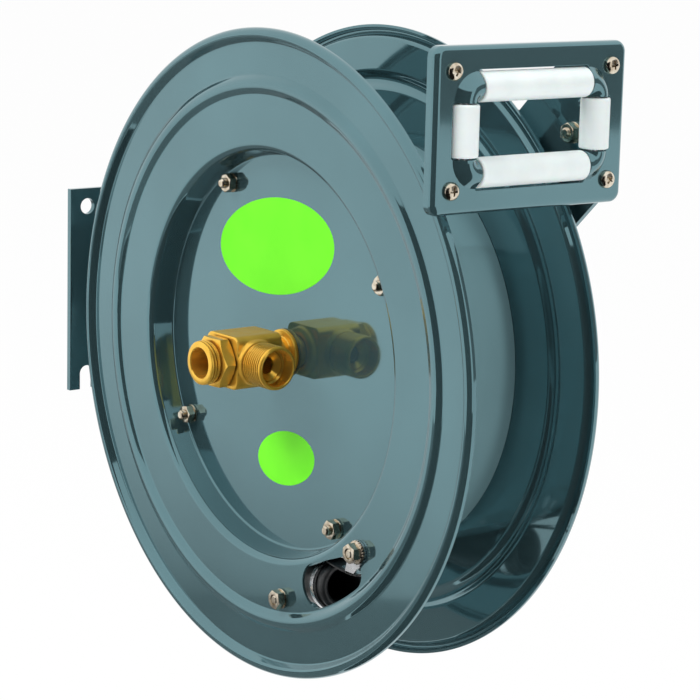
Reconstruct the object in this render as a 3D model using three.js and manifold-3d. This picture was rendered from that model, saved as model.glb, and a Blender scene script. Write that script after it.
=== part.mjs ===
// A spring-return hose reel for a wall: a drum of two pressed discs on a fixed axle, a water swivel at its
// centre, a bent wall bracket behind it and an arm that carries a four-roller hose guide.
// Millimetres, +Z up. The origin is on the back of the wall flange, at the height of the drum's axis, in the
// middle of the drum's width. +X points away from the wall, and the drum turns about Y; its near side is -Y.

import * as THREE from "three";
import { mergeVertices } from "three/addons/utils/BufferGeometryUtils.js";
import Module from "manifold-3d";

const radians = THREE.MathUtils.degToRad;

// ---- Clearances -------------------------------------------------------------------------------------------
const SEAT = 0.3; // between pieces that are fastened or welded together
const RUNNING = 0.4; // radial play between a shaft and what turns on it
const REACH = 5; // how far a cutting tool stands out past the faces that it cuts

// ---- Drum -------------------------------------------------------------------------------------------------
const DISC_RADIUS = 245;
const DISC_TO_WALL = 20;
const AXLE_TO_WALL = DISC_RADIUS + DISC_TO_WALL;
const DISC_SHEET = 2;
const WINDING_WIDTH = 108; // free width between the two discs
const WINDING_DEPTH = 82.5; // from the discs' rim in to the core
const CORE_RADIUS = DISC_RADIUS - WINDING_DEPTH; // the hose winds on this
const CORE_SHEET = 2;
const RECESS_DEPTH = 20; // the centre plates lie this far inside the discs' rings
const RECESS_TAPER = 4; // the recess is narrower at its bottom by this much on each side
const RECESS_LIP_BEND = 5;
const RECESS_FOOT_BEND = 3;
const BEAD_INSET = 50; // from the rim to the inner foot of the round bead
const BEAD_WIDTH = 18;
const BEAD_APEX = 8; // where the bead's two flanks would meet
const BEAD_BEND = 9;
const RIM_WIDTH = 12;
const RIM_HEIGHT = 8;
const RIM_BEND = 3.5;
const RIM_RETURN = 4; // the curled edge comes back down by this much
const DISC_SEGMENTS = 40;
const RING_PLANE = (WINDING_WIDTH + DISC_SHEET) / 2; // middle of the disc's ring, from the drum's middle
const PLATE_PLANE = RING_PLANE - RECESS_DEPTH; // middle of the centre plate
// The lip's bend ends just inside the core, which stands on the flat ring
const RECESS_SLOPE = Math.atan2(RECESS_DEPTH, RECESS_TAPER);
const RECESS_RADIUS = CORE_RADIUS - CORE_SHEET - SEAT - RECESS_LIP_BEND * Math.tan(RECESS_SLOPE / 2);
const PLATE_INSIDE = PLATE_PLANE - DISC_SHEET / 2;
const PLATE_OUTSIDE = PLATE_PLANE + DISC_SHEET / 2;
const RING_INSIDE = RING_PLANE - DISC_SHEET / 2;
const RING_OUTSIDE = RING_PLANE + DISC_SHEET / 2;
const RIM_OUTSIDE = RING_OUTSIDE + RIM_HEIGHT;
const BEAD_FOOT = DISC_RADIUS - BEAD_INSET;

// Fasteners of the drum
const TIE_INSET = 15.1; // from the recess's edge in to the tie bolts' circle
const TIE_CIRCLE = RECESS_RADIUS - TIE_INSET;
const TIE_COUNT = 4;
const TIE_FIRST_ANGLE = 30;
const TIE_RADIUS = 4;
const TIE_END = 12; // thread past the near plate
const NUT_ACROSS = 13;
const NUT_HEIGHT = 6.5;
const WASHER_RADIUS = 7.6;
const WASHER_HEIGHT = 1.6;
const RIM_BOLT_CIRCLE = BEAD_FOOT - 9.5;
const RIM_BOLT_ANGLE = -80.5;
const CLIP_BOLT_CIRCLE = BEAD_FOOT - 20;
const CLIP_BOLT_ANGLE = -45.4;

// Opening for the hose in the near disc's ring: a wide and a narrow round end under one outer arc
const OPENING_OUTER = BEAD_FOOT;
const OPENING_WIDE_END = 17;
const OPENING_NARROW_END = 13;
const OPENING_WIDE_ANGLE = -66;
const OPENING_NARROW_ANGLE = -51.5;

// ---- Return spring and bearings ---------------------------------------------------------------------------
const AXLE_RADIUS = 12.5;
const AXLE_INNER_END = 0.6;
const BUSH_WALL = 2.8;
const BUSH_LIP = 3.3; // a bush's flange stands out this far
const BUSH_FLANGE = 2;
const BUSH_BORE = AXLE_RADIUS + RUNNING;
const BUSH_RADIUS = BUSH_BORE + BUSH_WALL;
const BUSH_FLANGE_RADIUS = BUSH_RADIUS + BUSH_LIP;
const CASE_TO_TIES = 17; // from the spring case out to the tie bolts' circle
const CASE_RADIUS = TIE_CIRCLE - CASE_TO_TIES;
const CASE_SHEET = 1.5;
const CASE_NEAR_FACE = 5;
const CASE_FAR_FACE = PLATE_INSIDE - SEAT;
const COVER_SHEET = 2;
const COVER_BUSH_LENGTH = 11;
const SPRING_STRIP = 1.4;
const SPRING_TURNS = 6;
const SPRING_SIDE_PLAY = 1;
const SPRING_STEPS_PER_TURN = 12;
const HUB_WALL = 4.3;
const HUB_FLANGE_RADIUS = 46;
const HUB_FLANGE = 4;
const HUB_LENGTH = 24;
const CLIP_WIDTH = 1.2;
const CLIP_RADIUS = AXLE_RADIUS + 3;
const GROOVE_DEPTH = 1.8;

// ---- Ratchet and pawl -------------------------------------------------------------------------------------
const RATCHET_TEETH = 12;
const RATCHET_TIP = 50;
const RATCHET_ROOT = 42;
const RATCHET_WIDTH = 5;
const RATCHET_FACE_ANGLE = 111; // where one tooth's steep face stands at rest
const PAWL_PIVOT_CIRCLE = 78;
const PAWL_PIVOT_ANGLE = 150;
const PAWL_PIN_RADIUS = 4;
const PAWL_EYE_RADIUS = 9;
const PAWL_LIFT = 10; // degrees that the pawl stands clear of the teeth at rest
const PAWL_TIP_PLAY = 1.2;
const PAWL_HEAD_RADIUS = 7;
const PAWL_HEAD = 2.2;

// ---- Water way --------------------------------------------------------------------------------------------
const STEM_RADIUS = 13;
const STEM_BORE = 9;
const STEM_INNER_END = PLATE_INSIDE - 6;
const STEM_OUTER_END = PLATE_OUTSIDE + 33;
const COLLAR_RADIUS = STEM_RADIUS + 5.5;
const COLLAR_WIDTH = 3.2;
const SEAL_PLACE = STEM_OUTER_END - 9;
const SEAL_RADIUS = 1.05;
const SEAL_GROOVE = 2.2;
const BODY_HALF = 20; // the forged swivel body is twice this high and wide
const BODY_LENGTH = 47;
const BODY_FAR = PLATE_OUTSIDE + 11;
const BODY_NEAR = BODY_FAR + BODY_LENGTH;
const NOSE_WALL = 2.6; // the body's wall round the stem, at its thin end
const BODY_ROUND = 6;
const PORT_RADIUS = 16.6; // outside of the one-inch pipe threads
const PORT_BORE = 11.5;
const PORT_PLACE = BODY_FAR + 29.5; // the side port's axis
const PORT_REACH = 47;
const PORT_NECK = 15.2; // undercut behind the threads
const PORT_ROOT = 0.4; // the forged root is thicker than the threads by this much
const PORT_SHOULDER = 3; // and stands this far out of the block
const NIPPLE_LENGTH = 20.5; // past the swivel body
const NIPPLE_END = BODY_NEAR + NIPPLE_LENGTH;
const NIPPLE_HEX = 36;
const NIPPLE_HEX_WIDTH = 10.5;
const NIPPLE_SPIGOT = 4;
const ELBOW_RADIUS = STEM_RADIUS + 4;
const ELBOW_NEAR = PLATE_INSIDE - SEAT;
const ELBOW_FAR = 1.2;
const PIPE_RADIUS = 11.4;
const PIPE_BORE = 8;
const PIPE_PLANE = -15;
const PIPE_LENGTH = 50;
const PIPE_ANGLE = -125;
const HOSE_RADIUS = 17.5;
const HOSE_BORE = PIPE_RADIUS + 1.7;
const HOSE_START = 26; // distance from the axis at which the hose starts over the pipe
const HOSE_CUFF = 1.6; // the moulded cuff at the hose's end is thicker by this much
const HOSE_CUFF_LENGTH = 26;
const CORE_PLAY = 4; // between the hose's clip and the edge of the core's cut-out
const HOSE_END_INSET = 18; // from the ring's outer face back to the middle of the hose's open end
// The hose's route from the pipe out through the core to its open end, as the distance outside the core, the
// angle about the drum's axis, and the share of the way across from the pipe's plane to the open end's
const HOSE_ROUTE = [
  [-40, -113.6, 0],
  [-3, -95.7, 0.1],
  [11, -80.7, 0.43],
  [21, -62.6, 1],
];
const CLIP_BAND = 12;
const CLIP_SHEET = 1.6;
const CLIP_PLACE = 15; // the band lies this far from the hose's end
const CLIP_EAR_RADIUS = 9;
const CLIP_EAR_ANGLE = -28; // where the ear's round end starts

// ---- Wall bracket and arm ---------------------------------------------------------------------------------
const FLANGE_TOP = 96;
const FLANGE_BOTTOM = -74;
const FLANGE_NEAR = -66;
const BRACKET_SHEET = 5;
const BRACKET_BEND = 8;
const BRACKET_HUB_RADIUS = 62;
const ARM_SHEET = 4;
const DRUM_TO_ARM = 15;
const ARM_INSIDE = RIM_OUTSIDE + DRUM_TO_ARM; // the arm's face towards the drum
const ARM_WIDTH = 100;
const ARM_ANGLE = 43.8;
const MOUNT_HOLE = 6.5;
const MOUNT_HOLE_SIDE = 49.5;
const MOUNT_HOLE_HEIGHT = 81;
const MOUNT_SLOT_TOP = -60.5; // centre of the slots' round tops
const AXLE_FLANGE_RADIUS = 40;
const AXLE_FLANGE = 6;
const HUB_BOLTS = 3;
const HUB_BOLT_CIRCLE = 28;
const HUB_BOLT_RADIUS = 4;
const BRACKET_INSIDE = ARM_INSIDE + ARM_SHEET + SEAT;
const BRACKET_OUTSIDE = BRACKET_INSIDE + BRACKET_SHEET;

// ---- Hose guide -------------------------------------------------------------------------------------------
const GUIDE_PAST_ARM = 8;
const GUIDE_WIDTH = 2 * (ARM_INSIDE + GUIDE_PAST_ARM);
const GUIDE_HEIGHT = 114;
const GUIDE_CORNER = 12;
const GUIDE_DEPTH = 10;
const GUIDE_EDGE = 5;
const GUIDE_SHEET = 2;
const DISC_TO_GUIDE = 11.94; // from the discs' rim to the guide's lower back corner
const GUIDE_ANGLE = radians(31.96); // where that corner stands about the drum's axis
// The rollers' plane and the guide's middle, from the drum's axis
const GUIDE_FORWARD = (DISC_RADIUS + DISC_TO_GUIDE) * Math.cos(GUIDE_ANGLE) + GUIDE_DEPTH;
const GUIDE_UP = (DISC_RADIUS + DISC_TO_GUIDE) * Math.sin(GUIDE_ANGLE) + GUIDE_HEIGHT / 2;
const ARM_TOP = GUIDE_UP + 45;
const OPEN_HALF_WIDTH = GUIDE_WIDTH / 2 - 37.5; // the clear opening between the rollers
const OPEN_HALF_HEIGHT = GUIDE_HEIGHT / 2 - 38.5;
const ROLLER_RADIUS = 10.5;
const ROLLER_CORNER = 0.5; // a roller ends this far inside the rollers that it meets
const ROLLER_LONG = 2 * (OPEN_HALF_WIDTH - ROLLER_CORNER);
const ROLLER_SHORT = 2 * (OPEN_HALF_HEIGHT - ROLLER_CORNER);
const ROLLER_END_PLAY = 1;
const ROLLER_SIDE_PLAY = 1.2;
const LONG_OFFSET = OPEN_HALF_HEIGHT + ROLLER_RADIUS; // from the guide's centre to the long rollers' axes
const SHORT_OFFSET = OPEN_HALF_WIDTH + ROLLER_RADIUS;
const PIN_RADIUS = 3;
const PIN_GRIP = 6; // how far a pin reaches into the elbows at its ends
const ELBOW_BULGE = 9.5;
const SCREW_SIDE = GUIDE_WIDTH / 2 - 15.5;
const SCREW_HEIGHT = GUIDE_HEIGHT / 2 - 17;
const SCREW_RADIUS = 2.5;
const SCREW_HEAD_RADIUS = 6.3;
const SCREW_HEAD = 4;
const FLANGE_SHEET = 3;
const FLANGE_BACK = 52; // the guide's side flange reaches this far back from the rollers' plane
// Bolts between arm and guide, and a spare hole, as [forward, up] from the rollers' plane and centre
const ARM_BOLT_PLACES = [
  [-36, -11],
  [-68, -36],
];
const ARM_SPARE_HOLE = [-30, 11];
const ARM_BOLT_END = 2; // thread past the nut

// ---- Materials --------------------------------------------------------------------------------------------
const paint = new THREE.MeshStandardMaterial({ color: 0x50696f, roughness: 0.25, metalness: 0.2 });
const brass = new THREE.MeshStandardMaterial({ color: 0xc8902e, roughness: 0.3, metalness: 1 });
const steel = new THREE.MeshStandardMaterial({ color: 0xb9bcbd, roughness: 0.35, metalness: 1 });
const plated = new THREE.MeshStandardMaterial({ color: 0x9c8a68, roughness: 0.3, metalness: 1 });
const rubber = new THREE.MeshStandardMaterial({ color: 0x17191b, roughness: 0.55, metalness: 0 });
const nylon = new THREE.MeshStandardMaterial({ color: 0xf0f1ee, roughness: 0.4, metalness: 0 });
const bronze = new THREE.MeshStandardMaterial({ color: 0xa87b45, roughness: 0.45, metalness: 1 });

// ---- Solid helpers ----------------------------------------------------------------------------------------
const wasm = await Module();
wasm.setup();

function polar(radius, degrees) {
  return [radius * Math.cos(radians(degrees)), radius * Math.sin(radians(degrees))];
}

// The signs of the four quarters of a plane, in order round the middle
const QUARTERS = [
  [1, 1],
  [-1, 1],
  [-1, -1],
  [1, -1],
];

// Points spread evenly on a circle.
function evenly(count, radius, first) {
  return Array.from({ length: count }, (_, i) => polar(radius, first + (360 / count) * i));
}

function solidOf(geometry) {
  const bare = geometry.clone();
  bare.deleteAttribute("normal");
  bare.deleteAttribute("uv");
  const merged = mergeVertices(bare, 1e-4);
  const corners = merged.index.array;
  const kept = [];
  for (let i = 0; i < corners.length; i += 3) {
    const [a, b, c] = [corners[i], corners[i + 1], corners[i + 2]];
    if (a !== b && b !== c && c !== a) kept.push(a, b, c);
  }
  return new wasm.Manifold(
    new wasm.Mesh({
      numProp: 3,
      vertProperties: merged.attributes.position.array,
      triVerts: new Uint32Array(kept),
    }),
  );
}

function geometryOf(solid) {
  const { vertProperties, triVerts } = solid.getMesh();
  const geometry = new THREE.BufferGeometry();
  geometry.setAttribute("position", new THREE.BufferAttribute(vertProperties, 3));
  geometry.setIndex(new THREE.BufferAttribute(triVerts, 1));
  geometry.computeVertexNormals();
  return geometry;
}

function joined(...solids) {
  return solids.reduce((whole, piece) => whole.add(piece));
}

function cut(solid, ...tools) {
  return tools.reduce((whole, tool) => whole.subtract(tool), solid);
}

// Turns an outline of [radius, height] points about the Y axis.
function turned(outline, segments = 18) {
  const points = outline.map(([radius, height]) => new THREE.Vector2(radius, height));
  if (THREE.ShapeUtils.area(points) < 0) points.reverse();
  if (points[0].x > 0 || points[points.length - 1].x > 0) points.push(points[0].clone());
  return solidOf(new THREE.LatheGeometry(points, segments));
}

function ring(inner, outer, low, high, segments) {
  const outline = [
    [inner, low],
    [outer, low],
    [outer, high],
    [inner, high],
  ];
  return turned(outline, segments);
}

function rod(radius, low, high, segments) {
  return ring(0, radius, low, high, segments);
}

function extruded(shape, depth, curveSegments) {
  return new THREE.ExtrudeGeometry(shape, { depth, bevelEnabled: false, curveSegments });
}

// An outline in X and Z, as a plate from one Y to another.
function plateAcrossY(shape, low, high, curveSegments = 4) {
  const geometry = extruded(shape, high - low, curveSegments);
  return solidOf(geometry.rotateX(Math.PI / 2).translate(0, high, 0));
}

// An outline in Y and Z, as a plate from one X to another.
function plateAcrossX(shape, low, high, curveSegments = 4) {
  const geometry = extruded(shape, high - low, curveSegments);
  const turn = new THREE.Matrix4().set(0, 0, 1, low, 1, 0, 0, 0, 0, 1, 0, 0, 0, 0, 0, 1);
  return solidOf(geometry.applyMatrix4(turn));
}

function box(x, y, z) {
  const size = [x, y, z].map(([low, high]) => high - low);
  const middle = [x, y, z].map(([low, high]) => (high + low) / 2);
  return solidOf(new THREE.BoxGeometry(...size).translate(...middle));
}

function rectangle(halfWidth, halfHeight, corner = 0) {
  const shape = new THREE.Shape();
  const [w, h] = [halfWidth - corner, halfHeight - corner];
  if (corner === 0) {
    shape.moveTo(-w, -h).lineTo(w, -h).lineTo(w, h).lineTo(-w, h);
    return shape;
  }
  shape.absarc(w, h, corner, 0, Math.PI / 2);
  shape.absarc(-w, h, corner, Math.PI / 2, Math.PI);
  shape.absarc(-w, -h, corner, Math.PI, 1.5 * Math.PI);
  shape.absarc(w, -h, corner, 1.5 * Math.PI, 2 * Math.PI);
  return shape;
}

function circle(x, y, radius) {
  return new THREE.Shape().absarc(x, y, radius, 0, 2 * Math.PI);
}

// The points of a bent line: each inner corner [x, y, bend] becomes an arc of that bend radius.
function bentLine(corners, stepsPerBend) {
  const line = [];
  corners.forEach(([x, y, bend], i) => {
    const here = new THREE.Vector2(x, y);
    const before = corners[i - 1] && new THREE.Vector2(...corners[i - 1].slice(0, 2)).sub(here).normalize();
    const after = corners[i + 1] && new THREE.Vector2(...corners[i + 1].slice(0, 2)).sub(here).normalize();
    if (!before || !after) {
      const along = after ? after : before.clone().negate();
      line.push({ point: here, side: new THREE.Vector2(-along.y, along.x) });
      return;
    }
    const half = Math.acos(THREE.MathUtils.clamp(before.dot(after), -1, 1)) / 2;
    const middle = before.clone().add(after).normalize();
    const centre = here.clone().addScaledVector(middle, bend / Math.sin(half));
    const left = Math.sign(before.x * after.y - before.y * after.x);
    const sweep = Math.PI - 2 * half;
    for (let step = 0; step <= stepsPerBend; step += 1) {
      const turn = left * sweep * (step / stepsPerBend - 0.5);
      const out = middle.clone().negate().rotateAround(new THREE.Vector2(), -turn);
      const point = centre.clone().addScaledVector(out, bend);
      line.push({ point, side: out.clone().multiplyScalar(left) });
    }
  });
  return line;
}

// The outline of a sheet of even thickness that follows a bent line.
function bentSheet(corners, sheet, stepsPerBend = 2) {
  const line = bentLine(corners, stepsPerBend);
  const moved = (amount) => ({ point, side }) => point.clone().addScaledVector(side, amount).toArray();
  const offset = (amount) => line.map(moved(amount));
  return [...offset(sheet / 2), ...offset(-sheet / 2).reverse()];
}

// A solid between two flat ends, whose outline is given at each level: levels is [[height, outline], ...].
function stacked(levels) {
  const count = levels[0][1].length;
  const positions = levels.flatMap(([height, outline]) => outline.flatMap((p) => [height, p.x, p.y]));
  const faces = [];
  for (let level = 0; level + 1 < levels.length; level += 1) {
    for (let i = 0; i < count; i += 1) {
      const [a, b] = [level * count + i, level * count + ((i + 1) % count)];
      faces.push(a, b, b + count, a, b + count, a + count);
    }
  }
  const top = (levels.length - 1) * count;
  for (let i = 1; i + 1 < count; i += 1) {
    faces.push(0, i + 1, i, top, top + i, top + i + 1);
  }
  const geometry = new THREE.BufferGeometry();
  geometry.setAttribute("position", new THREE.Float32BufferAttribute(positions, 3));
  geometry.setIndex(faces);
  return solidOf(geometry);
}

function hexagon(acrossFlats) {
  const shape = new THREE.Shape();
  for (let i = 0; i < 6; i += 1) {
    const [x, y] = polar(acrossFlats / Math.sqrt(3), 60 * i);
    if (i === 0) shape.moveTo(x, y);
    else shape.lineTo(x, y);
  }
  return shape;
}

// A tube along a curve, with the frames that the curve gives.
function swept(curve, radius, steps, sides) {
  const geometry = new THREE.ExtrudeGeometry(circle(0, 0, radius), {
    steps,
    curveSegments: sides / 2,
    extrudePath: curve,
    bevelEnabled: false,
  });
  return solidOf(geometry);
}

function mesh(name, solid, material) {
  const made = new THREE.Mesh(geometryOf(solid), material);
  made.name = name;
  return made;
}

function placed(object, x, y, z) {
  object.position.set(x, y, z);
  return object;
}

// ---- Fasteners, made along Y with the bearing face at Y = 0 -----------------------------------------------

// A hexagon nut with its washer, standing towards -Y.
function nutWithWasher(threadRadius) {
  const bore = rod(threadRadius + SEAT, -REACH * 3, REACH, 10);
  const washer = rod(WASHER_RADIUS, -WASHER_HEIGHT, 0, 12);
  const hex = plateAcrossY(hexagon(NUT_ACROSS), -WASHER_HEIGHT - NUT_HEIGHT, -WASHER_HEIGHT / 2);
  return cut(joined(washer, hex), bore);
}

// A hexagon bolt whose head stands towards -Y and whose shank reaches to the given length.
function hexBolt(radius, length) {
  const head = plateAcrossY(hexagon(NUT_ACROSS), -NUT_HEIGHT + 1, 0);
  return joined(head, rod(radius, -1, length, 8));
}

// ---- Drum -------------------------------------------------------------------------------------------------

// Both discs share one profile, as [radius, distance from the drum's middle].
function discProfile(holeRadius) {
  return bentSheet(
    [
      [holeRadius, PLATE_PLANE],
      [RECESS_RADIUS - RECESS_TAPER, PLATE_PLANE, RECESS_FOOT_BEND],
      [RECESS_RADIUS, RING_PLANE, RECESS_LIP_BEND],
      [BEAD_FOOT, RING_PLANE, RIM_BEND],
      [BEAD_FOOT + BEAD_WIDTH / 2, RING_PLANE + BEAD_APEX, BEAD_BEND],
      [BEAD_FOOT + BEAD_WIDTH, RING_PLANE, RIM_BEND],
      [DISC_RADIUS - RIM_WIDTH, RING_PLANE, RIM_BEND],
      [DISC_RADIUS - RIM_WIDTH + RIM_BEND, RING_PLANE + RIM_HEIGHT, RIM_BEND],
      [DISC_RADIUS, RING_PLANE + RIM_HEIGHT, RIM_BEND],
      [DISC_RADIUS, RING_PLANE + RIM_HEIGHT - RIM_BEND - RIM_RETURN],
    ],
    DISC_SHEET,
    1,
  );
}

function tieHoles() {
  const hole = rod(TIE_RADIUS + SEAT, -RING_OUTSIDE - REACH, RING_OUTSIDE + REACH, 12);
  return tiePlaces().map(([x, z]) => hole.translate([x, 0, z]));
}

function tiePlaces() {
  return evenly(TIE_COUNT, TIE_CIRCLE, TIE_FIRST_ANGLE);
}

function hoseOpening() {
  const [wideX, wideZ] = polar(OPENING_OUTER - OPENING_WIDE_END, OPENING_WIDE_ANGLE);
  const [narrowX, narrowZ] = polar(OPENING_OUTER - OPENING_NARROW_END, OPENING_NARROW_ANGLE);
  const [wide, narrow] = [radians(OPENING_WIDE_ANGLE), radians(OPENING_NARROW_ANGLE)];
  const shape = new THREE.Shape();
  shape.absarc(0, 0, OPENING_OUTER, wide, narrow);
  shape.absarc(narrowX, narrowZ, OPENING_NARROW_END, narrow, narrow + Math.PI);
  shape.absarc(wideX, wideZ, OPENING_WIDE_END, wide + Math.PI, wide + 2 * Math.PI);
  return plateAcrossY(shape, -RING_OUTSIDE - REACH, -RING_INSIDE + REACH, 5);
}

function boltHole(circleRadius, angle) {
  const [x, z] = polar(circleRadius, angle);
  return rod(TIE_RADIUS + SEAT, -RING_OUTSIDE - REACH, -RING_INSIDE + REACH, 12).translate([x, 0, z]);
}

function nearDisc() {
  const profile = discProfile(STEM_RADIUS + SEAT).map(([radius, out]) => [radius, -out]);
  const holes = [boltHole(RIM_BOLT_CIRCLE, RIM_BOLT_ANGLE), boltHole(CLIP_BOLT_CIRCLE, CLIP_BOLT_ANGLE)];
  return cut(turned(profile, DISC_SEGMENTS), hoseOpening(), ...tieHoles(), ...holes);
}

function farDisc() {
  return cut(turned(discProfile(BUSH_RADIUS + SEAT), DISC_SEGMENTS), ...tieHoles());
}

function hoseCurve() {
  const overPipe = [HOSE_START, (HOSE_START + PIPE_LENGTH) / 2, PIPE_LENGTH];
  const onPipe = overPipe.map((reach) => polar(reach, PIPE_ANGLE)).map(([x, z]) => [x, PIPE_PLANE, z]);
  const endPlane = HOSE_END_INSET - RING_OUTSIDE;
  const route = HOSE_ROUTE.map(([outside, angle, across]) => {
    const [x, z] = polar(CORE_RADIUS + outside, angle);
    return [x, THREE.MathUtils.lerp(PIPE_PLANE, endPlane, across), z];
  });
  const points = [...onPipe, ...route];
  return new THREE.CatmullRomCurve3(points.map((p) => new THREE.Vector3(...p)));
}

function hoseStub() {
  const curve = hoseCurve();
  const length = curve.getLength();
  const cuffStart = 1 - HOSE_CUFF_LENGTH / length;
  const tail = [0, 0.5, 1].map((share) => curve.getPointAt(cuffStart + (1 - cuffStart) * share));
  const cuff = swept(new THREE.CatmullRomCurve3(tail), HOSE_RADIUS + HOSE_CUFF, 2, 10);
  const tube = joined(swept(curve, HOSE_RADIUS, 12, 10), cuff);
  const [beforeStart, afterEnd] = [curve.getTangentAt(0), curve.getTangentAt(1)];
  const bore = new THREE.CatmullRomCurve3([
    curve.getPointAt(0).addScaledVector(beforeStart, -REACH),
    ...Array.from({ length: 9 }, (_, i) => curve.getPointAt(i / 8)),
    curve.getPointAt(1).addScaledVector(afterEnd, REACH),
  ]);
  return cut(tube, swept(bore, HOSE_BORE, 12, 10));
}

function drumCore() {
  const width = RING_INSIDE - SEAT;
  const shell = ring(CORE_RADIUS - CORE_SHEET, CORE_RADIUS, -width, width, DISC_SEGMENTS);
  return cut(shell, swept(hoseCurve(), HOSE_RADIUS + HOSE_CUFF + CLIP_SHEET + CORE_PLAY, 12, 12));
}

function springCase() {
  const cup = rod(CASE_RADIUS, CASE_NEAR_FACE, CASE_FAR_FACE, 28);
  const hollow = rod(CASE_RADIUS - CASE_SHEET, CASE_NEAR_FACE - REACH, CASE_FAR_FACE - CASE_SHEET, 28);
  const hole = rod(BUSH_RADIUS + SEAT, CASE_NEAR_FACE, CASE_FAR_FACE + REACH, 24);
  return cut(cup, hollow, hole);
}

function springCover() {
  return ring(
    BUSH_RADIUS + SEAT,
    CASE_RADIUS - CASE_SHEET - SEAT,
    CASE_NEAR_FACE,
    CASE_NEAR_FACE + COVER_SHEET,
    28,
  );
}

// A flat spiral strip from the axle out to the case.
function powerSpring() {
  const inside = BUSH_RADIUS + SEAT + SPRING_STRIP / 2;
  const outside = CASE_RADIUS - CASE_SHEET - SEAT - SPRING_STRIP;
  const steps = SPRING_TURNS * SPRING_STEPS_PER_TURN;
  const edge = (offset) =>
    Array.from({ length: steps + 1 }, (_, i) => {
      const share = i / steps;
      const radius = inside + (outside - inside) * share + offset;
      return new THREE.Vector2(...polar(radius, 360 * SPRING_TURNS * share));
    });
  const shape = new THREE.Shape([...edge(SPRING_STRIP / 2), ...edge(-SPRING_STRIP / 2).reverse()]);
  const low = CASE_NEAR_FACE + COVER_SHEET + SPRING_SIDE_PLAY;
  return plateAcrossY(shape, low, CASE_FAR_FACE - CASE_SHEET - SPRING_SIDE_PLAY);
}

function hubSleeve() {
  const foot = PLATE_OUTSIDE + SEAT;
  const bore = BUSH_RADIUS + SEAT;
  return turned([
    [bore, foot],
    [HUB_FLANGE_RADIUS, foot],
    [HUB_FLANGE_RADIUS, foot + HUB_FLANGE],
    [bore + HUB_WALL, foot + HUB_FLANGE],
    [bore + HUB_WALL, foot + HUB_LENGTH],
    [bore, foot + HUB_LENGTH],
  ]);
}

// A flanged bush, its flange's free face at Y = 0 and its barrel towards +Y.
function flangedBush(length) {
  return turned([
    [BUSH_BORE, 0],
    [BUSH_FLANGE_RADIUS, 0],
    [BUSH_FLANGE_RADIUS, BUSH_FLANGE],
    [BUSH_RADIUS, BUSH_FLANGE],
    [BUSH_RADIUS, length],
    [BUSH_BORE, length],
  ]);
}

function ratchetWheel() {
  const pitch = 360 / RATCHET_TEETH;
  const shape = new THREE.Shape();
  for (let tooth = 0; tooth < RATCHET_TEETH; tooth += 1) {
    const face = RATCHET_FACE_ANGLE + pitch * tooth;
    const root = polar(RATCHET_ROOT, face - pitch);
    if (tooth === 0) shape.moveTo(...root);
    else shape.lineTo(...root);
    shape.lineTo(...polar((RATCHET_ROOT + RATCHET_TIP) / 2, face - pitch * 0.45));
    shape.lineTo(...polar(RATCHET_TIP, face - pitch * 0.08));
    shape.lineTo(...polar(RATCHET_TIP, face));
  }
  const low = ratchetPlane();
  const hole = rod(BUSH_RADIUS + SEAT + HUB_WALL + SEAT, low - REACH, low + RATCHET_WIDTH + REACH, 24);
  return cut(plateAcrossY(shape, low, low + RATCHET_WIDTH), hole);
}

function ratchetPlane() {
  return PLATE_OUTSIDE + SEAT + HUB_FLANGE + SEAT;
}

function pawlPivot() {
  return polar(PAWL_PIVOT_CIRCLE, PAWL_PIVOT_ANGLE);
}

// The pawl, drawn in mesh with the ratchet, about its own pivot. Its tip ends on a circle about the pivot
// that just clears the tooth's tip, so it can swing in and out past the tooth.
function pawl() {
  const [pivotX, pivotZ] = pawlPivot();
  const [toothX, toothZ] = polar(RATCHET_TIP, RATCHET_FACE_ANGLE);
  const reach = Math.hypot(toothX - pivotX, toothZ - pivotZ) - PAWL_TIP_PLAY;
  const tipCorner = (radius) => {
    const cosine = (PAWL_PIVOT_CIRCLE ** 2 + radius ** 2 - reach ** 2) / (2 * PAWL_PIVOT_CIRCLE * radius);
    return polar(radius, PAWL_PIVOT_ANGLE - THREE.MathUtils.radToDeg(Math.acos(cosine)));
  };
  const low = tipCorner(RATCHET_ROOT + PAWL_TIP_PLAY);
  const high = tipCorner(RATCHET_TIP + 2 * PAWL_TIP_PLAY);
  const outline = new THREE.Shape();
  outline.moveTo(low[0] - pivotX, low[1] - pivotZ);
  outline.lineTo(high[0] - pivotX, high[1] - pivotZ);
  outline.absarc(0, 0, PAWL_EYE_RADIUS, radians(80), radians(285));
  const plate = plateAcrossY(outline, 0, RATCHET_WIDTH);
  return cut(plate, rod(PAWL_PIN_RADIUS + RUNNING, -REACH, RATCHET_WIDTH + REACH, 16));
}

function pawlPin() {
  const low = ratchetPlane();
  return turned(
    [
      [0, low - SEAT - PAWL_HEAD],
      [PAWL_HEAD_RADIUS, low - SEAT - PAWL_HEAD],
      [PAWL_HEAD_RADIUS, low - SEAT],
      [PAWL_PIN_RADIUS, low - SEAT],
      [PAWL_PIN_RADIUS, low + RATCHET_WIDTH + SEAT],
      [PAWL_HEAD_RADIUS, low + RATCHET_WIDTH + SEAT],
      [PAWL_HEAD_RADIUS, BRACKET_INSIDE - SEAT],
      [PAWL_PIN_RADIUS, BRACKET_INSIDE - SEAT],
      [PAWL_PIN_RADIUS, BRACKET_OUTSIDE + WASHER_HEIGHT + NUT_HEIGHT + 2],
      [0, BRACKET_OUTSIDE + WASHER_HEIGHT + NUT_HEIGHT + 2],
    ],
    16,
  );
}

// ---- Water way --------------------------------------------------------------------------------------------

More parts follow.
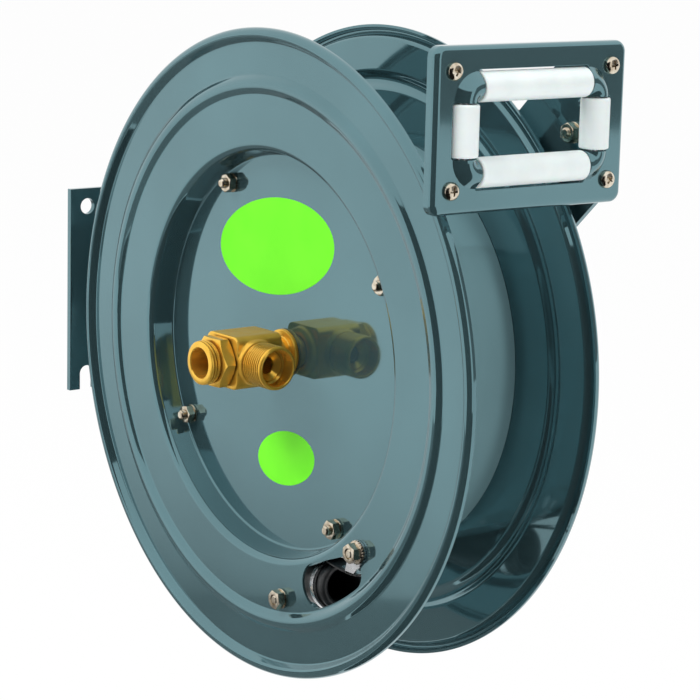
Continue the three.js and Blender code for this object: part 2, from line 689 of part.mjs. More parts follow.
function inletStem() {
  const collarFoot = -PLATE_OUTSIDE - SEAT;
  const sealGroove = SEAL_RADIUS + SEAT;
  return turned([
    [STEM_BORE, -STEM_INNER_END],
    [STEM_BORE, -STEM_OUTER_END],
    [STEM_RADIUS, -STEM_OUTER_END],
    [STEM_RADIUS, -SEAL_PLACE - sealGroove],
    [STEM_RADIUS - SEAL_GROOVE, -SEAL_PLACE - sealGroove],
    [STEM_RADIUS - SEAL_GROOVE, -SEAL_PLACE + sealGroove],
    [STEM_RADIUS, -SEAL_PLACE + sealGroove],
    [STEM_RADIUS, collarFoot - COLLAR_WIDTH],
    [COLLAR_RADIUS - 1, collarFoot - COLLAR_WIDTH],
    [COLLAR_RADIUS, collarFoot - COLLAR_WIDTH + 1],
    [COLLAR_RADIUS, collarFoot],
    [STEM_RADIUS, collarFoot],
    [STEM_RADIUS, -STEM_INNER_END],
  ]);
}

function sealRing() {
  const middle = STEM_RADIUS + (RUNNING - SEAL_GROOVE) / 2;
  const outline = Array.from({ length: 6 }, (_, i) => {
    const [across, along] = polar(SEAL_RADIUS, 60 * i);
    return [middle + across, -SEAL_PLACE + along];
  });
  return turned(outline);
}

function feedElbow() {
  const body = turned([
    [0, -ELBOW_NEAR],
    [ELBOW_RADIUS, -ELBOW_NEAR],
    [ELBOW_RADIUS, -ELBOW_FAR - 3],
    [ELBOW_RADIUS - 3, -ELBOW_FAR],
    [0, -ELBOW_FAR],
  ]);
  const socket = rod(STEM_RADIUS + SEAT, -ELBOW_NEAR - REACH, -STEM_INNER_END + SEAT);
  const way = rod(STEM_BORE, -ELBOW_NEAR, PIPE_PLANE);
  const along = (radius, from, to) =>
    rod(radius, from, to, 16)
      .rotate([0, 0, -90])
      .rotate([0, -PIPE_ANGLE, 0])
      .translate([0, PIPE_PLANE, 0]);
  const pipe = along(PIPE_RADIUS, 0, PIPE_LENGTH);
  return cut(joined(body, pipe), socket, way, along(PIPE_BORE, 0, PIPE_LENGTH + REACH));
}

// A male pipe thread's outline between two heights: an undercut, the threaded length and a chamfer.
function portOutline(from, to) {
  const away = Math.sign(to - from);
  return [
    [0, from],
    [PORT_NECK, from],
    [PORT_NECK, from + away * 2.5],
    [PORT_RADIUS, from + away * 3.5],
    [PORT_RADIUS, to - away * 1.2],
    [PORT_RADIUS - 1.2, to],
    [0, to],
  ];
}

function swivelBody() {
  const block = plateAcrossY(rectangle(BODY_HALF, BODY_HALF, BODY_ROUND), -BODY_NEAR, -BODY_FAR - 6, 2);
  const nose = turned(
    [
      [0, -BODY_FAR - 8],
      [BODY_HALF, -BODY_FAR - 8],
      [STEM_RADIUS + RUNNING + NOSE_WALL + 2, -BODY_FAR - 2],
      [STEM_RADIUS + RUNNING + NOSE_WALL, -BODY_FAR],
      [0, -BODY_FAR],
    ],
    24,
  );
  const sideways = (solid) => solid.rotate([0, 0, -90]).translate([0, -PORT_PLACE, 0]);
  const port = sideways(turned(portOutline(BODY_HALF - 1, PORT_REACH), 24));
  const root = sideways(rod(PORT_RADIUS + PORT_ROOT, 0, BODY_HALF + PORT_SHOULDER, 20));
  const stemBore = rod(STEM_RADIUS + RUNNING, -STEM_OUTER_END - RUNNING, -BODY_FAR + REACH);
  const chamber = rod(PORT_BORE, -BODY_NEAR - REACH, -BODY_FAR);
  const spigotBore = rod(STEM_RADIUS + SEAT, -BODY_NEAR - REACH, -BODY_NEAR + NIPPLE_SPIGOT + SEAT);
  const sideBore = sideways(rod(PORT_BORE, 0, PORT_REACH + REACH));
  return cut(joined(block, nose, root, port), stemBore, chamber, spigotBore, sideBore);
}

function inletNipple() {
  const hexStart = -BODY_NEAR - SEAT;
  const hex = plateAcrossY(hexagon(NIPPLE_HEX), hexStart - NIPPLE_HEX_WIDTH, hexStart);
  const thread = turned(portOutline(hexStart - NIPPLE_HEX_WIDTH + 1, -NIPPLE_END), 24);
  const spigot = rod(STEM_RADIUS, hexStart - 1, -BODY_NEAR + NIPPLE_SPIGOT);
  const bore = rod(PORT_BORE, -NIPPLE_END - REACH, -BODY_NEAR + NIPPLE_SPIGOT + REACH);
  return cut(joined(hex, thread, spigot), bore);
}

// The band round the hose, a shelf that leads through the disc's opening and the ear under the clip bolt.
function hoseClip() {
  const curve = hoseCurve();
  const share = 1 - CLIP_PLACE / curve.getLength();
  const centre = curve.getPointAt(share);
  const along = curve.getTangentAt(share);
  const inner = HOSE_RADIUS + HOSE_CUFF + SEAT;
  const turn = new THREE.Quaternion().setFromUnitVectors(new THREE.Vector3(0, 1, 0), along);
  const band = turnedTo(ring(inner, inner + CLIP_SHEET, -CLIP_BAND / 2, CLIP_BAND / 2, 24), turn, centre);
  const room = turnedTo(rod(inner, -CLIP_PLACE, CLIP_PLACE + 1, 24), turn, centre);
  const [boltX, boltZ] = polar(CLIP_BOLT_CIRCLE, CLIP_BOLT_ANGLE);
  const [shelfX, shelfZ] = polar(OPENING_OUTER - OPENING_NARROW_END, OPENING_NARROW_ANGLE);
  const earOutside = -RING_OUTSIDE - SEAT - CLIP_SHEET;
  const shelfY = earOutside + CLIP_BAND / 2;
  const half = CLIP_BAND / 2;
  const near = new THREE.Vector3(shelfX - CLIP_EAR_RADIUS, shelfY, shelfZ);
  const outer = new THREE.Vector3(shelfX + CLIP_EAR_RADIUS, shelfY, shelfZ);
  const up = new THREE.Vector3(-shelfX, 0, -shelfZ);
  up.addScaledVector(along, -up.dot(along)).normalize();
  const start = centre.clone().addScaledVector(up, inner + CLIP_SHEET / 2);
  const across = up.clone().cross(near.clone().sub(start)).setLength(half);
  const [flatWide, flatThick] = [new THREE.Vector3(0, half, 0), new THREE.Vector3(0, 0, CLIP_SHEET / 2)];
  const shelf = ribbon([
    [start, across, up.clone().setLength(CLIP_SHEET / 2)],
    [near, flatWide, flatThick],
    [outer, flatWide, flatThick],
  ]);
  const earShape = new THREE.Shape();
  earShape.moveTo(near.x, shelfZ - CLIP_SHEET / 2);
  earShape.lineTo(outer.x, shelfZ - CLIP_SHEET / 2);
  earShape.absarc(boltX, boltZ, CLIP_EAR_RADIUS, radians(CLIP_EAR_ANGLE), radians(CLIP_EAR_ANGLE + 180));
  const ear = plateAcrossY(earShape, earOutside, earOutside + CLIP_SHEET);
  const hole = rod(TIE_RADIUS + SEAT, earOutside - REACH, earOutside + REACH, 12);
  return cut(joined(band, shelf, ear), room, hole.translate([boltX, 0, boltZ]));
}

// A flat strip through stations of [middle, half width, half thickness]; width x thickness points ahead.
function ribbon(stations) {
  const positions = stations.flatMap(([middle, wide, thick]) =>
    QUARTERS.map(([w, t]) => middle.clone().addScaledVector(wide, w).addScaledVector(thick, t)).flatMap(
      (corner) => corner.toArray(),
    ),
  );
  const faces = [];
  for (let station = 0; station + 1 < stations.length; station += 1) {
    for (let i = 0; i < 4; i += 1) {
      const [a, b] = [station * 4 + i, station * 4 + ((i + 1) % 4)];
      faces.push(a, b, b + 4, a, b + 4, a + 4);
    }
  }
  const last = 4 * (stations.length - 1);
  faces.push(0, 2, 1, 0, 3, 2, last, last + 1, last + 2, last, last + 2, last + 3);
  const geometry = new THREE.BufferGeometry();
  geometry.setAttribute("position", new THREE.Float32BufferAttribute(positions, 3));
  geometry.setIndex(faces);
  return solidOf(geometry);
}

function turnedTo(solid, quaternion, position) {
  const matrix = new THREE.Matrix4().compose(position, quaternion, new THREE.Vector3(1, 1, 1));
  return solid.transform(matrix.elements);
}

// ---- Frame ------------------------------------------------------------------------------------------------

function wallBracket() {
  const side = BRACKET_INSIDE + BRACKET_SHEET / 2;
  const bend = bentSheet(
    [
      [-AXLE_TO_WALL + BRACKET_SHEET / 2, FLANGE_NEAR],
      [-AXLE_TO_WALL + BRACKET_SHEET / 2, side, BRACKET_BEND],
      [BRACKET_HUB_RADIUS, side],
    ],
    BRACKET_SHEET,
    4,
  );
  const sheetShape = new THREE.Shape(bend.map((p) => new THREE.Vector2(...p)));
  const sheet = solidOf(extruded(sheetShape, FLANGE_TOP - FLANGE_BOTTOM, 1).translate(0, 0, FLANGE_BOTTOM));
  const sideShape = new THREE.Shape();
  const back = -AXLE_TO_WALL - REACH;
  const shoulder = -AXLE_TO_WALL + 40;
  const [topX, topZ] = polar(BRACKET_HUB_RADIUS, 80);
  sideShape.moveTo(back, FLANGE_BOTTOM - REACH);
  sideShape.lineTo(shoulder, FLANGE_BOTTOM - REACH);
  sideShape.lineTo(shoulder, FLANGE_BOTTOM + 1);
  sideShape.lineTo(topX, -topZ);
  sideShape.absarc(0, 0, BRACKET_HUB_RADIUS, radians(-80), radians(80));
  sideShape.lineTo(shoulder, FLANGE_TOP - 1);
  sideShape.lineTo(shoulder, FLANGE_TOP + REACH);
  sideShape.lineTo(back, FLANGE_TOP + REACH);
  const trimmed = sheet.intersect(plateAcrossY(sideShape, FLANGE_NEAR - REACH, BRACKET_OUTSIDE + REACH, 8));
  const holes = [-1, 1].map((way) => {
    const y = way * MOUNT_HOLE_SIDE;
    const slot = new THREE.Shape();
    slot.moveTo(y - MOUNT_HOLE, FLANGE_BOTTOM - REACH);
    slot.lineTo(y + MOUNT_HOLE, FLANGE_BOTTOM - REACH);
    slot.absarc(y, MOUNT_SLOT_TOP, MOUNT_HOLE, 0, Math.PI);
    const tool = (shape) => plateAcrossX(shape, -AXLE_TO_WALL - REACH, -AXLE_TO_WALL + BRACKET_SHEET + REACH);
    return joined(tool(slot), tool(circle(y, MOUNT_HOLE_HEIGHT, MOUNT_HOLE)));
  });
  const [pivotX, pivotZ] = pawlPivot();
  const pivotHole = rod(PAWL_PIN_RADIUS + SEAT, BRACKET_INSIDE - REACH, BRACKET_OUTSIDE + REACH, 16);
  return cut(trimmed, ...holes, pivotHole.translate([pivotX, 0, pivotZ]), ...hubHoles());
}

function hubBoltPlaces() {
  return evenly(HUB_BOLTS, HUB_BOLT_CIRCLE, 90);
}

function hubHoles() {
  const [low, high] = [ARM_INSIDE - AXLE_FLANGE - REACH, BRACKET_OUTSIDE + REACH];
  const hole = rod(HUB_BOLT_RADIUS + SEAT, low, high, 12);
  const bolts = hubBoltPlaces().map(([x, z]) => hole.translate([x, 0, z]));
  return [...bolts, rod(AXLE_RADIUS + SEAT, ARM_INSIDE - SEAT / 2, high, 24)];
}

function axle() {
  const flangeHigh = ARM_INSIDE - SEAT;
  const flangeLow = flangeHigh - AXLE_FLANGE;
  const groove = clipPlane();
  const shaft = turned([
    [0, AXLE_INNER_END],
    [AXLE_RADIUS - 1, AXLE_INNER_END],
    [AXLE_RADIUS - 1, groove],
    [AXLE_RADIUS - GROOVE_DEPTH, groove],
    [AXLE_RADIUS - GROOVE_DEPTH, groove + CLIP_WIDTH + SEAT],
    [AXLE_RADIUS, groove + CLIP_WIDTH + SEAT],
    [AXLE_RADIUS, flangeLow],
    [AXLE_FLANGE_RADIUS, flangeLow],
    [AXLE_FLANGE_RADIUS, flangeHigh],
    [AXLE_RADIUS, flangeHigh],
    [AXLE_RADIUS, BRACKET_OUTSIDE + 2],
    [0, BRACKET_OUTSIDE + 2],
  ]);
  const hole = rod(HUB_BOLT_RADIUS + SEAT, flangeLow - REACH, flangeHigh + REACH, 12);
  return cut(shaft, ...hubBoltPlaces().map(([x, z]) => hole.translate([x, 0, z])));
}

function clipPlane() {
  return CASE_NEAR_FACE - BUSH_FLANGE - SEAT - CLIP_WIDTH - SEAT;
}

function axleClip() {
  const low = clipPlane() + SEAT / 2;
  const circlip = ring(AXLE_RADIUS - GROOVE_DEPTH + SEAT, CLIP_RADIUS, low, low + CLIP_WIDTH, 24);
  return cut(circlip, box([0, CLIP_RADIUS + 1], [low - 1, low + CLIP_WIDTH + 1], [-3, 3]));
}

function guideArm() {
  const [alongX, alongZ] = polar(1, ARM_ANGLE);
  const half = ARM_WIDTH / 2;
  const front = GUIDE_FORWARD - GUIDE_DEPTH;
  const onEdge = (side, x) => (x * alongZ) / alongX + (side * half) / alongX;
  const topEdgeX = ((ARM_TOP - half / alongX) * alongX) / alongZ;
  const shape = new THREE.Shape();
  shape.absarc(0, 0, half, radians(ARM_ANGLE + 90), radians(ARM_ANGLE + 270));
  shape.lineTo(front, onEdge(-1, front));
  shape.lineTo(front, ARM_TOP);
  shape.lineTo(topEdgeX, ARM_TOP);
  const plate = plateAcrossY(shape, ARM_INSIDE, ARM_INSIDE + ARM_SHEET, 8);
  return cut(plate, ...hubHoles(), ...armBoltHoles());
}

function armBoltPlaces() {
  return ARM_BOLT_PLACES.map(([back, up]) => [GUIDE_FORWARD + back, GUIDE_UP + up]);
}

// The bolts' holes and the spare hole above the front one
function armBoltHoles() {
  const hole = rod(TIE_RADIUS + SEAT, ARM_INSIDE - 3 * REACH, ARM_INSIDE + ARM_SHEET + REACH, 12);
  const spare = [GUIDE_FORWARD + ARM_SPARE_HOLE[0], GUIDE_UP + ARM_SPARE_HOLE[1]];
  return [...armBoltPlaces(), spare].map(([x, z]) => hole.translate([x, 0, z]));
}

// The guide's own frame: X is the plates' normal, and the rollers' axes lie at X = 0.
function guideWindow() {
  const side = ROLLER_RADIUS + ROLLER_SIDE_PLAY;
  const long = rectangle(ROLLER_LONG / 2 + ROLLER_END_PLAY, LONG_OFFSET + side, 1);
  const short = rectangle(SHORT_OFFSET + side, ROLLER_SHORT / 2 + ROLLER_END_PLAY, 1);
  const tool = (shape) => plateAcrossX(shape, -GUIDE_DEPTH - REACH, ELBOW_BULGE + REACH, 2);
  return joined(tool(long), tool(short));
}

// One half of the four pressed elbows that grip the pins' ends: way is 1 for the front and -1 for the back.
function elbowHalves(way) {
  const [cornerY, cornerZ] = [ROLLER_LONG / 2 + ROLLER_END_PLAY, ROLLER_SHORT / 2 + ROLLER_END_PLAY];
  const bendRadius = LONG_OFFSET - cornerZ;
  const section = Array.from({ length: 8 }, (_, i) => {
    const [across, along] = polar(Math.min(ELBOW_BULGE, bendRadius - 0.3), 45 * i);
    return [bendRadius + across, along];
  });
  const whole = turned(section, 16).rotate([0, 0, 90]);
  const span = 3 * ELBOW_BULGE;
  const slab = way > 0 ? [SEAT / 2, span] : [-span, -SEAT / 2];
  const quarter = whole.intersect(box(slab, [0, span], [0, span]));
  const corners = QUARTERS.map(([sideY, sideZ], i) =>
    quarter.rotate([90 * i, 0, 0]).translate([0, sideY * cornerY, sideZ * cornerZ]),
  );
  return joined(...corners);
}

function pinGrooves() {
  const reach = PIN_GRIP + SEAT;
  const long = rod(PIN_RADIUS + SEAT, -ROLLER_LONG / 2 - reach, ROLLER_LONG / 2 + reach, 8);
  const upright = rod(PIN_RADIUS + SEAT, -ROLLER_SHORT / 2 - reach, ROLLER_SHORT / 2 + reach, 8);
  const short = upright.rotate([90, 0, 0]);
  return [-1, 1].flatMap((way) => [
    long.translate([0, 0, way * LONG_OFFSET]),
    short.translate([0, way * SHORT_OFFSET, 0]),
  ]);
}

function screwHoles() {
  return screwPlaces().map(([y, z]) =>
    rod(SCREW_RADIUS + SEAT, -GUIDE_DEPTH - REACH, GUIDE_DEPTH, 8).rotate([0, 0, -90]).translate([0, y, z]),
  );
}

function screwPlaces() {
  return [
    [-SCREW_SIDE, SCREW_HEIGHT],
    [SCREW_SIDE, SCREW_HEIGHT],
    [SCREW_SIDE, -SCREW_HEIGHT],
    [-SCREW_SIDE, -SCREW_HEIGHT],
  ];
}

function roundedOutline(inset) {
  const corner = Math.max(GUIDE_CORNER - inset, 1);
  return rectangle(GUIDE_WIDTH / 2 - inset, GUIDE_HEIGHT / 2 - inset, corner).getPoints(2).slice(0, -1);
}

// A tray with a rounded front edge, grown inwards by inset and backwards from its front face.
function trayBody(inset, back, front) {
  const levels = [[back, roundedOutline(inset)]];
  const edge = GUIDE_EDGE - inset;
  for (let step = 0; step <= 3; step += 1) {
    const angle = (step / 3) * 90;
    const [out, up] = polar(edge, angle);
    levels.push([front - edge + up, roundedOutline(inset + edge - out)]);
  }
  return stacked(levels);
}

function guideFrontPlate() {
  const front = SEAT / 2 + GUIDE_SHEET;
  const hollow = trayBody(GUIDE_SHEET, front - GUIDE_DEPTH - REACH, SEAT / 2);
  const sheet = cut(trayBody(0, front - GUIDE_DEPTH, front), hollow, guideWindow());
  return cut(joined(sheet, elbowHalves(1)), ...pinGrooves(), ...screwHoles());
}

function guideBackPlate() {
  const inset = GUIDE_EDGE + SEAT;
  const [halfWidth, halfHeight] = [GUIDE_WIDTH / 2 - inset, GUIDE_HEIGHT / 2 - inset];
  const [back, front] = [-SEAT / 2 - GUIDE_SHEET, -SEAT / 2];
  const faceShape = rectangle(halfWidth, halfHeight, GUIDE_CORNER - inset);
  const face = cut(plateAcrossX(faceShape, back, front, 2), guideWindow());
  const outside = ARM_INSIDE - SEAT;
  const flangeShape = new THREE.Shape();
  flangeShape.moveTo(-FLANGE_BACK - 24, -FLANGE_BACK);
  flangeShape.lineTo(-FLANGE_BACK + 6, -halfHeight + GUIDE_CORNER);
  flangeShape.lineTo(back / 2, -halfHeight + GUIDE_CORNER);
  flangeShape.lineTo(back / 2, halfHeight - GUIDE_CORNER);
  flangeShape.lineTo(-FLANGE_BACK, halfHeight - GUIDE_CORNER);
  flangeShape.lineTo(-FLANGE_BACK, 0);
  flangeShape.lineTo(-FLANGE_BACK - 40, -38);
  const flange = plateAcrossY(flangeShape, outside - FLANGE_SHEET, outside);
  const bolts = armBoltHoles().map((hole) => hole.translate([-GUIDE_FORWARD, 0, -GUIDE_UP]));
  return cut(joined(face, flange, elbowHalves(-1)), ...pinGrooves(), ...screwHoles(), ...bolts);
}

function roller(length) {
  const half = length / 2;
  return turned(
    [
      [PIN_RADIUS + RUNNING, -half],
      [ROLLER_RADIUS, -half],
      [ROLLER_RADIUS, half],
      [PIN_RADIUS + RUNNING, half],
    ],
    18,
  );
}

function rollerPin(length) {
  return rod(PIN_RADIUS, -length / 2 - PIN_GRIP, length / 2 + PIN_GRIP, 12);
}

// A pan-head screw along +Y, its head's underside at Y = 0 and its shank towards -Y.
function panScrew() {
  return turned(
    [
      [0, -GUIDE_DEPTH],
      [SCREW_RADIUS, -GUIDE_DEPTH],
      [SCREW_RADIUS, 0],
      [SCREW_HEAD_RADIUS, 0],
      [SCREW_HEAD_RADIUS * 0.94, SCREW_HEAD * 0.45],
      [SCREW_HEAD_RADIUS * 0.66, SCREW_HEAD * 0.85],
      [0, SCREW_HEAD],
    ],
    12,
  );
}

// ---- Assembly ---------------------------------------------------------------------------------------------

function drumGroup() {
  const drum = new THREE.Group();
  drum.add(mesh("near_disc", nearDisc(), paint));
  drum.add(mesh("far_disc", farDisc(), paint));
  drum.add(mesh("drum_core", drumCore(), paint));
  const nearFace = -PLATE_OUTSIDE - SEAT;
  const tieLength = 2 * (PLATE_OUTSIDE + SEAT) + TIE_END;
  const tie = hexBolt(TIE_RADIUS, tieLength);
  const nut = nutWithWasher(TIE_RADIUS);
  tiePlaces().forEach(([x, z], i) => {
    const bolt = placed(mesh(`tie_bolt_${i + 1}`, tie, plated), x, PLATE_OUTSIDE + SEAT, z);
    bolt.rotation.x = Math.PI;
    drum.add(bolt);
    drum.add(placed(mesh(`tie_nut_${i + 1}`, nut, plated), x, nearFace, z));
  });
  drum.add(mesh("spring_case", springCase(), steel));
  drum.add(mesh("spring_cover", springCover(), steel));
  drum.add(mesh("power_spring", powerSpring(), steel));
  drum.add(mesh("hub_sleeve", hubSleeve(), steel));
  const farBush = mesh("bush_far", flangedBush(HUB_LENGTH), bronze);
  placed(farBush, 0, PLATE_OUTSIDE + 2 * SEAT + HUB_LENGTH + BUSH_FLANGE, 0).rotation.x = Math.PI;
  drum.add(farBush);
  const nearBush = mesh("bush_near", flangedBush(COVER_BUSH_LENGTH), bronze);
  drum.add(placed(nearBush, 0, CASE_NEAR_FACE - SEAT - BUSH_FLANGE, 0));
  drum.add(mesh("ratchet_wheel", ratchetWheel(), steel));
  drum.add(mesh("inlet_stem", inletStem(), brass));
  drum.add(mesh("stem_seal", sealRing(), rubber));
  drum.add(mesh("feed_elbow", feedElbow(), brass));
  drum.add(mesh("hose_stub", hoseStub(), rubber));
  drum.add(mesh("hose_clip", hoseClip(), steel));
  const [rimX, rimZ] = polar(RIM_BOLT_CIRCLE, RIM_BOLT_ANGLE);
  const [clipX, clipZ] = polar(CLIP_BOLT_CIRCLE, CLIP_BOLT_ANGLE);
  const onRing = -RING_OUTSIDE - SEAT;
  drum.add(placed(mesh("rim_bolt", panBolt(), plated), rimX, onRing, rimZ));
  drum.add(placed(mesh("clip_bolt", panBolt(), plated), clipX, onRing - CLIP_SHEET - SEAT, clipZ));
  return drum;
}

// A short bolt and its washer in one, head towards -Y, through the disc's ring.
function panBolt() {
  const head = plateAcrossY(hexagon(NUT_ACROSS), -WASHER_HEIGHT - NUT_HEIGHT, -WASHER_HEIGHT / 2);
  return joined(head, rod(WASHER_RADIUS, -WASHER_HEIGHT, 0, 12), rod(TIE_RADIUS, -1, DISC_SHEET + 8, 8));
}

function frameGroup() {
  const frame = new THREE.Group();
  frame.add(mesh("wall_bracket", wallBracket(), paint));
  frame.add(mesh("guide_arm", guideArm(), paint));
  frame.add(mesh("axle", axle(), steel));
  frame.add(mesh("axle_clip", axleClip(), steel));
  const boltLength = BRACKET_OUTSIDE - ARM_INSIDE + AXLE_FLANGE + SEAT * 3 + WASHER_HEIGHT + NUT_HEIGHT + 3;
  const bolt = hexBolt(HUB_BOLT_RADIUS, boltLength);
  const nut = nutWithWasher(HUB_BOLT_RADIUS);
  hubBoltPlaces().forEach(([x, z], i) => {
    frame.add(placed(mesh(`hub_bolt_${i + 1}`, bolt, plated), x, ARM_INSIDE - AXLE_FLANGE - 2 * SEAT, z));
    const hubNut = placed(mesh(`hub_nut_${i + 1}`, nut, plated), x, BRACKET_OUTSIDE + SEAT, z);
    hubNut.rotation.x = Math.PI;
    frame.add(hubNut);
  });
  const [pivotX, pivotZ] = pawlPivot();
  frame.add(placed(mesh("pawl_pin", pawlPin(), steel), pivotX, 0, pivotZ));
  const pawlNut = mesh("pawl_nut", nutWithWasher(PAWL_PIN_RADIUS), plated);
  placed(pawlNut, pivotX, BRACKET_OUTSIDE + SEAT, pivotZ).rotation.x = Math.PI;
  frame.add(pawlNut);
  const pawlArm = placed(mesh("pawl", pawl(), steel), pivotX, ratchetPlane(), pivotZ);
  pawlArm.rotation.y = -radians(PAWL_LIFT);
  frame.add(pawlArm);
  armBoltPlaces().forEach(([x, z], i) => {
    const inner = ARM_INSIDE - 2 * SEAT - FLANGE_SHEET;
    const outer = ARM_INSIDE + ARM_SHEET + SEAT;
    const length = outer - inner + WASHER_HEIGHT + NUT_HEIGHT + ARM_BOLT_END;
    const armBolt = placed(mesh(`arm_bolt_${i + 1}`, hexBolt(TIE_RADIUS, length), plated), x, outer, z);
    armBolt.rotation.x = Math.PI;
    frame.add(armBolt);
    frame.add(placed(mesh(`arm_nut_${i + 1}`, nutWithWasher(TIE_RADIUS), plated), x, inner, z));
  });
  return frame;
}

function guideGroup() {
  const guide = new THREE.Group();
  guide.add(mesh("guide_front_plate", guideFrontPlate(), paint));
  guide.add(mesh("guide_back_plate", guideBackPlate(), paint));
  screwPlaces().forEach(([y, z], i) => {
    const screw = placed(mesh(`guide_screw_${i + 1}`, panScrew(), plated), GUIDE_SHEET + 1.5 * SEAT, y, z);
    screw.rotation.z = -Math.PI / 2;
    guide.add(screw);
  });
  const sides = [
    ["top", ROLLER_LONG, 0, LONG_OFFSET],
    ["bottom", ROLLER_LONG, 0, -LONG_OFFSET],
    ["left", ROLLER_SHORT, -SHORT_OFFSET, 0],
    ["right", ROLLER_SHORT, SHORT_OFFSET, 0],
  ];
  sides.forEach(([side, length, y, z]) => {
    const pair = placed(new THREE.Group(), 0, y, z);
    if (y !== 0) pair.rotation.x = Math.PI / 2;
    pair.add(mesh(`roller_${side}`, roller(length), nylon));
    pair.add(mesh(`pin_${side}`, rollerPin(length), steel));
    guide.add(pair);
  });
  return placed(guide, GUIDE_FORWARD, 0, GUIDE_UP);
}

function swivelGroup() {
  const swivel = new THREE.Group();
  swivel.add(mesh("swivel_body", swivelBody(), brass));
  swivel.add(mesh("inlet_nipple", inletNipple(), brass));
  return swivel;
}

const reel = placed(new THREE.Group(), AXLE_TO_WALL, 0, 0);
reel.add(frameGroup(), guideGroup(), drumGroup(), swivelGroup());

const whole = new THREE.Group();
whole.add(reel);
export default whole;
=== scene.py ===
"""The looks of a spring-return hose reel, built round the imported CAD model."""

from math import acos, ceil, cos, hypot, pi, radians, sin, sqrt

import bmesh
import bpy
from mathutils import Matrix, Vector


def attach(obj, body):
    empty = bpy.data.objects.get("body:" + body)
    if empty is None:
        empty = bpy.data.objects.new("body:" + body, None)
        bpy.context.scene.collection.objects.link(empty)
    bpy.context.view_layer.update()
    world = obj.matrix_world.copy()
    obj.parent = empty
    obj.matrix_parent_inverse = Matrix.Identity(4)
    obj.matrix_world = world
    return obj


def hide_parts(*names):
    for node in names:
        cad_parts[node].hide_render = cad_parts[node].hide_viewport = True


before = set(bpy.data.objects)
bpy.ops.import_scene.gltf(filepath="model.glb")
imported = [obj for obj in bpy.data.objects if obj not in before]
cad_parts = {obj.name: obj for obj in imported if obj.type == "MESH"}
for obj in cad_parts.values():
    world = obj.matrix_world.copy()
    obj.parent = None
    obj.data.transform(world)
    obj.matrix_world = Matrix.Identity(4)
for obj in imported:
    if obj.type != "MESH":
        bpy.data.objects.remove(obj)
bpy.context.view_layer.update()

# ---- Sizes in millimetres, as in the CAD source, from the drum's axis and the middle of its width ----

MM = 0.001
AXLE_TO_WALL = 265
SEAT = 0.3
# How far a cutting shape reaches past what it cuts
PAST = 10

# Discs and core
DISC_RADIUS = 245
DISC_SHEET = 2
DISC_SEGMENTS = 256
RING_PLANE = 55
PLATE_PLANE = 35
ON_PLATE = PLATE_PLANE + DISC_SHEET / 2 + SEAT
ON_RING = RING_PLANE + DISC_SHEET / 2 + SEAT
NEAR_HOLE = 13.3
FAR_HOLE = 16
RECESS_RADIUS = 156.1
RECESS_TAPER = 4
BEAD_RADIUS = 204
BEAD_HALF = 7
BEAD_HEIGHT = 5
RIM_WIDTH = 9
RIM_HEIGHT = 6.5
CORE_RADIUS = 162.5
CORE_SHEET = 2
# Radius of each round end and its angle on the disc
OPENING_ENDS = ((17, -66), (13, -51.5))
OPENING_OUTER = 195

# Labels: name, middle, half sizes and tilt; then the film's edge as shares of the oval and heights
LABELS = (
    ("label_large", (-13.7, 80), (73, 37), 7.8),
    ("label_small", (4.7, -81.5), (36.5, 21), 11.6),
)
FILM_EDGE = ((1, 0), (0.995, 0.16), (0.6, 0.18), (0.2, 0.18))
LABEL_SEGMENTS = 128

# Fasteners
TIE_CIRCLE = 141
TIE_ANGLES = (30, 120, 210, 300)
RIM_BOLT = (185.5, -80.5)
CLIP_BOLT = (175, -45.4)
NUT_ACROSS = 13
NUT_HEIGHT = 6.5
CHAMFER_START = 0.96
WASHER_RADIUS = 7.6
WASHER_HEIGHT = 1.6
NUT_TOP = -WASHER_HEIGHT - NUT_HEIGHT
CAP_HEIGHT = 5.5
CAP_FACE = 0.4
BOLT_RADIUS = 4
BOLT_PITCH = 1.25
SHANK_RADIUS = BOLT_RADIUS - 0.05
NUT_HOLE = BOLT_RADIUS + 0.1
TIE_PAST_NUT = 3.9
HUB_PAST_NUT = 3
ARM_PAST_NUT = 2
BEHIND_SHEET = 9
# Width of a thread's level crest against that of the groove beside it
THREAD_CREST = 0.7

# Hose: the feed's angle and first points, then (distance outside the core, angle, share of the sway)
FEED_ANGLE = -125
FEED_REACHES = (26, 38, 50)
HOSE_ROUTE = ((-40, -113.6, 0), (-3, -95.7, 0.1), (11, -80.7, 0.43), (21, -62.6, 1))
HOSE_SIDE = -15
HOSE_SWAY = -23
HOSE_RADIUS = 17.5
HOSE_BORE = 13.1
HOSE_SIDES = 72
HOSE_ROOM = 4
CUFF = 1.6
CUFF_LENGTH = 26
CUFF_RISE = 2
# The cuff's rolled end: share of the way from outside to bore, and height
HOSE_LIP = ((0.0, -3.0), (0.1, -1.4), (0.3, -0.3), (0.5, 0.0), (0.75, -0.4), (1.0, -2.0))

# Clip
CLIP_PLACE = 15
CLIP_BAND = 12
CLIP_SHEET = 1.6
CLIP_LINING = 0.9
STEEL_BAND = 6
SHELF_HALF = 9
EAR_FOOT = 4.5
EAR_RADIUS = 9
EAR_ARC = (-28, 152)

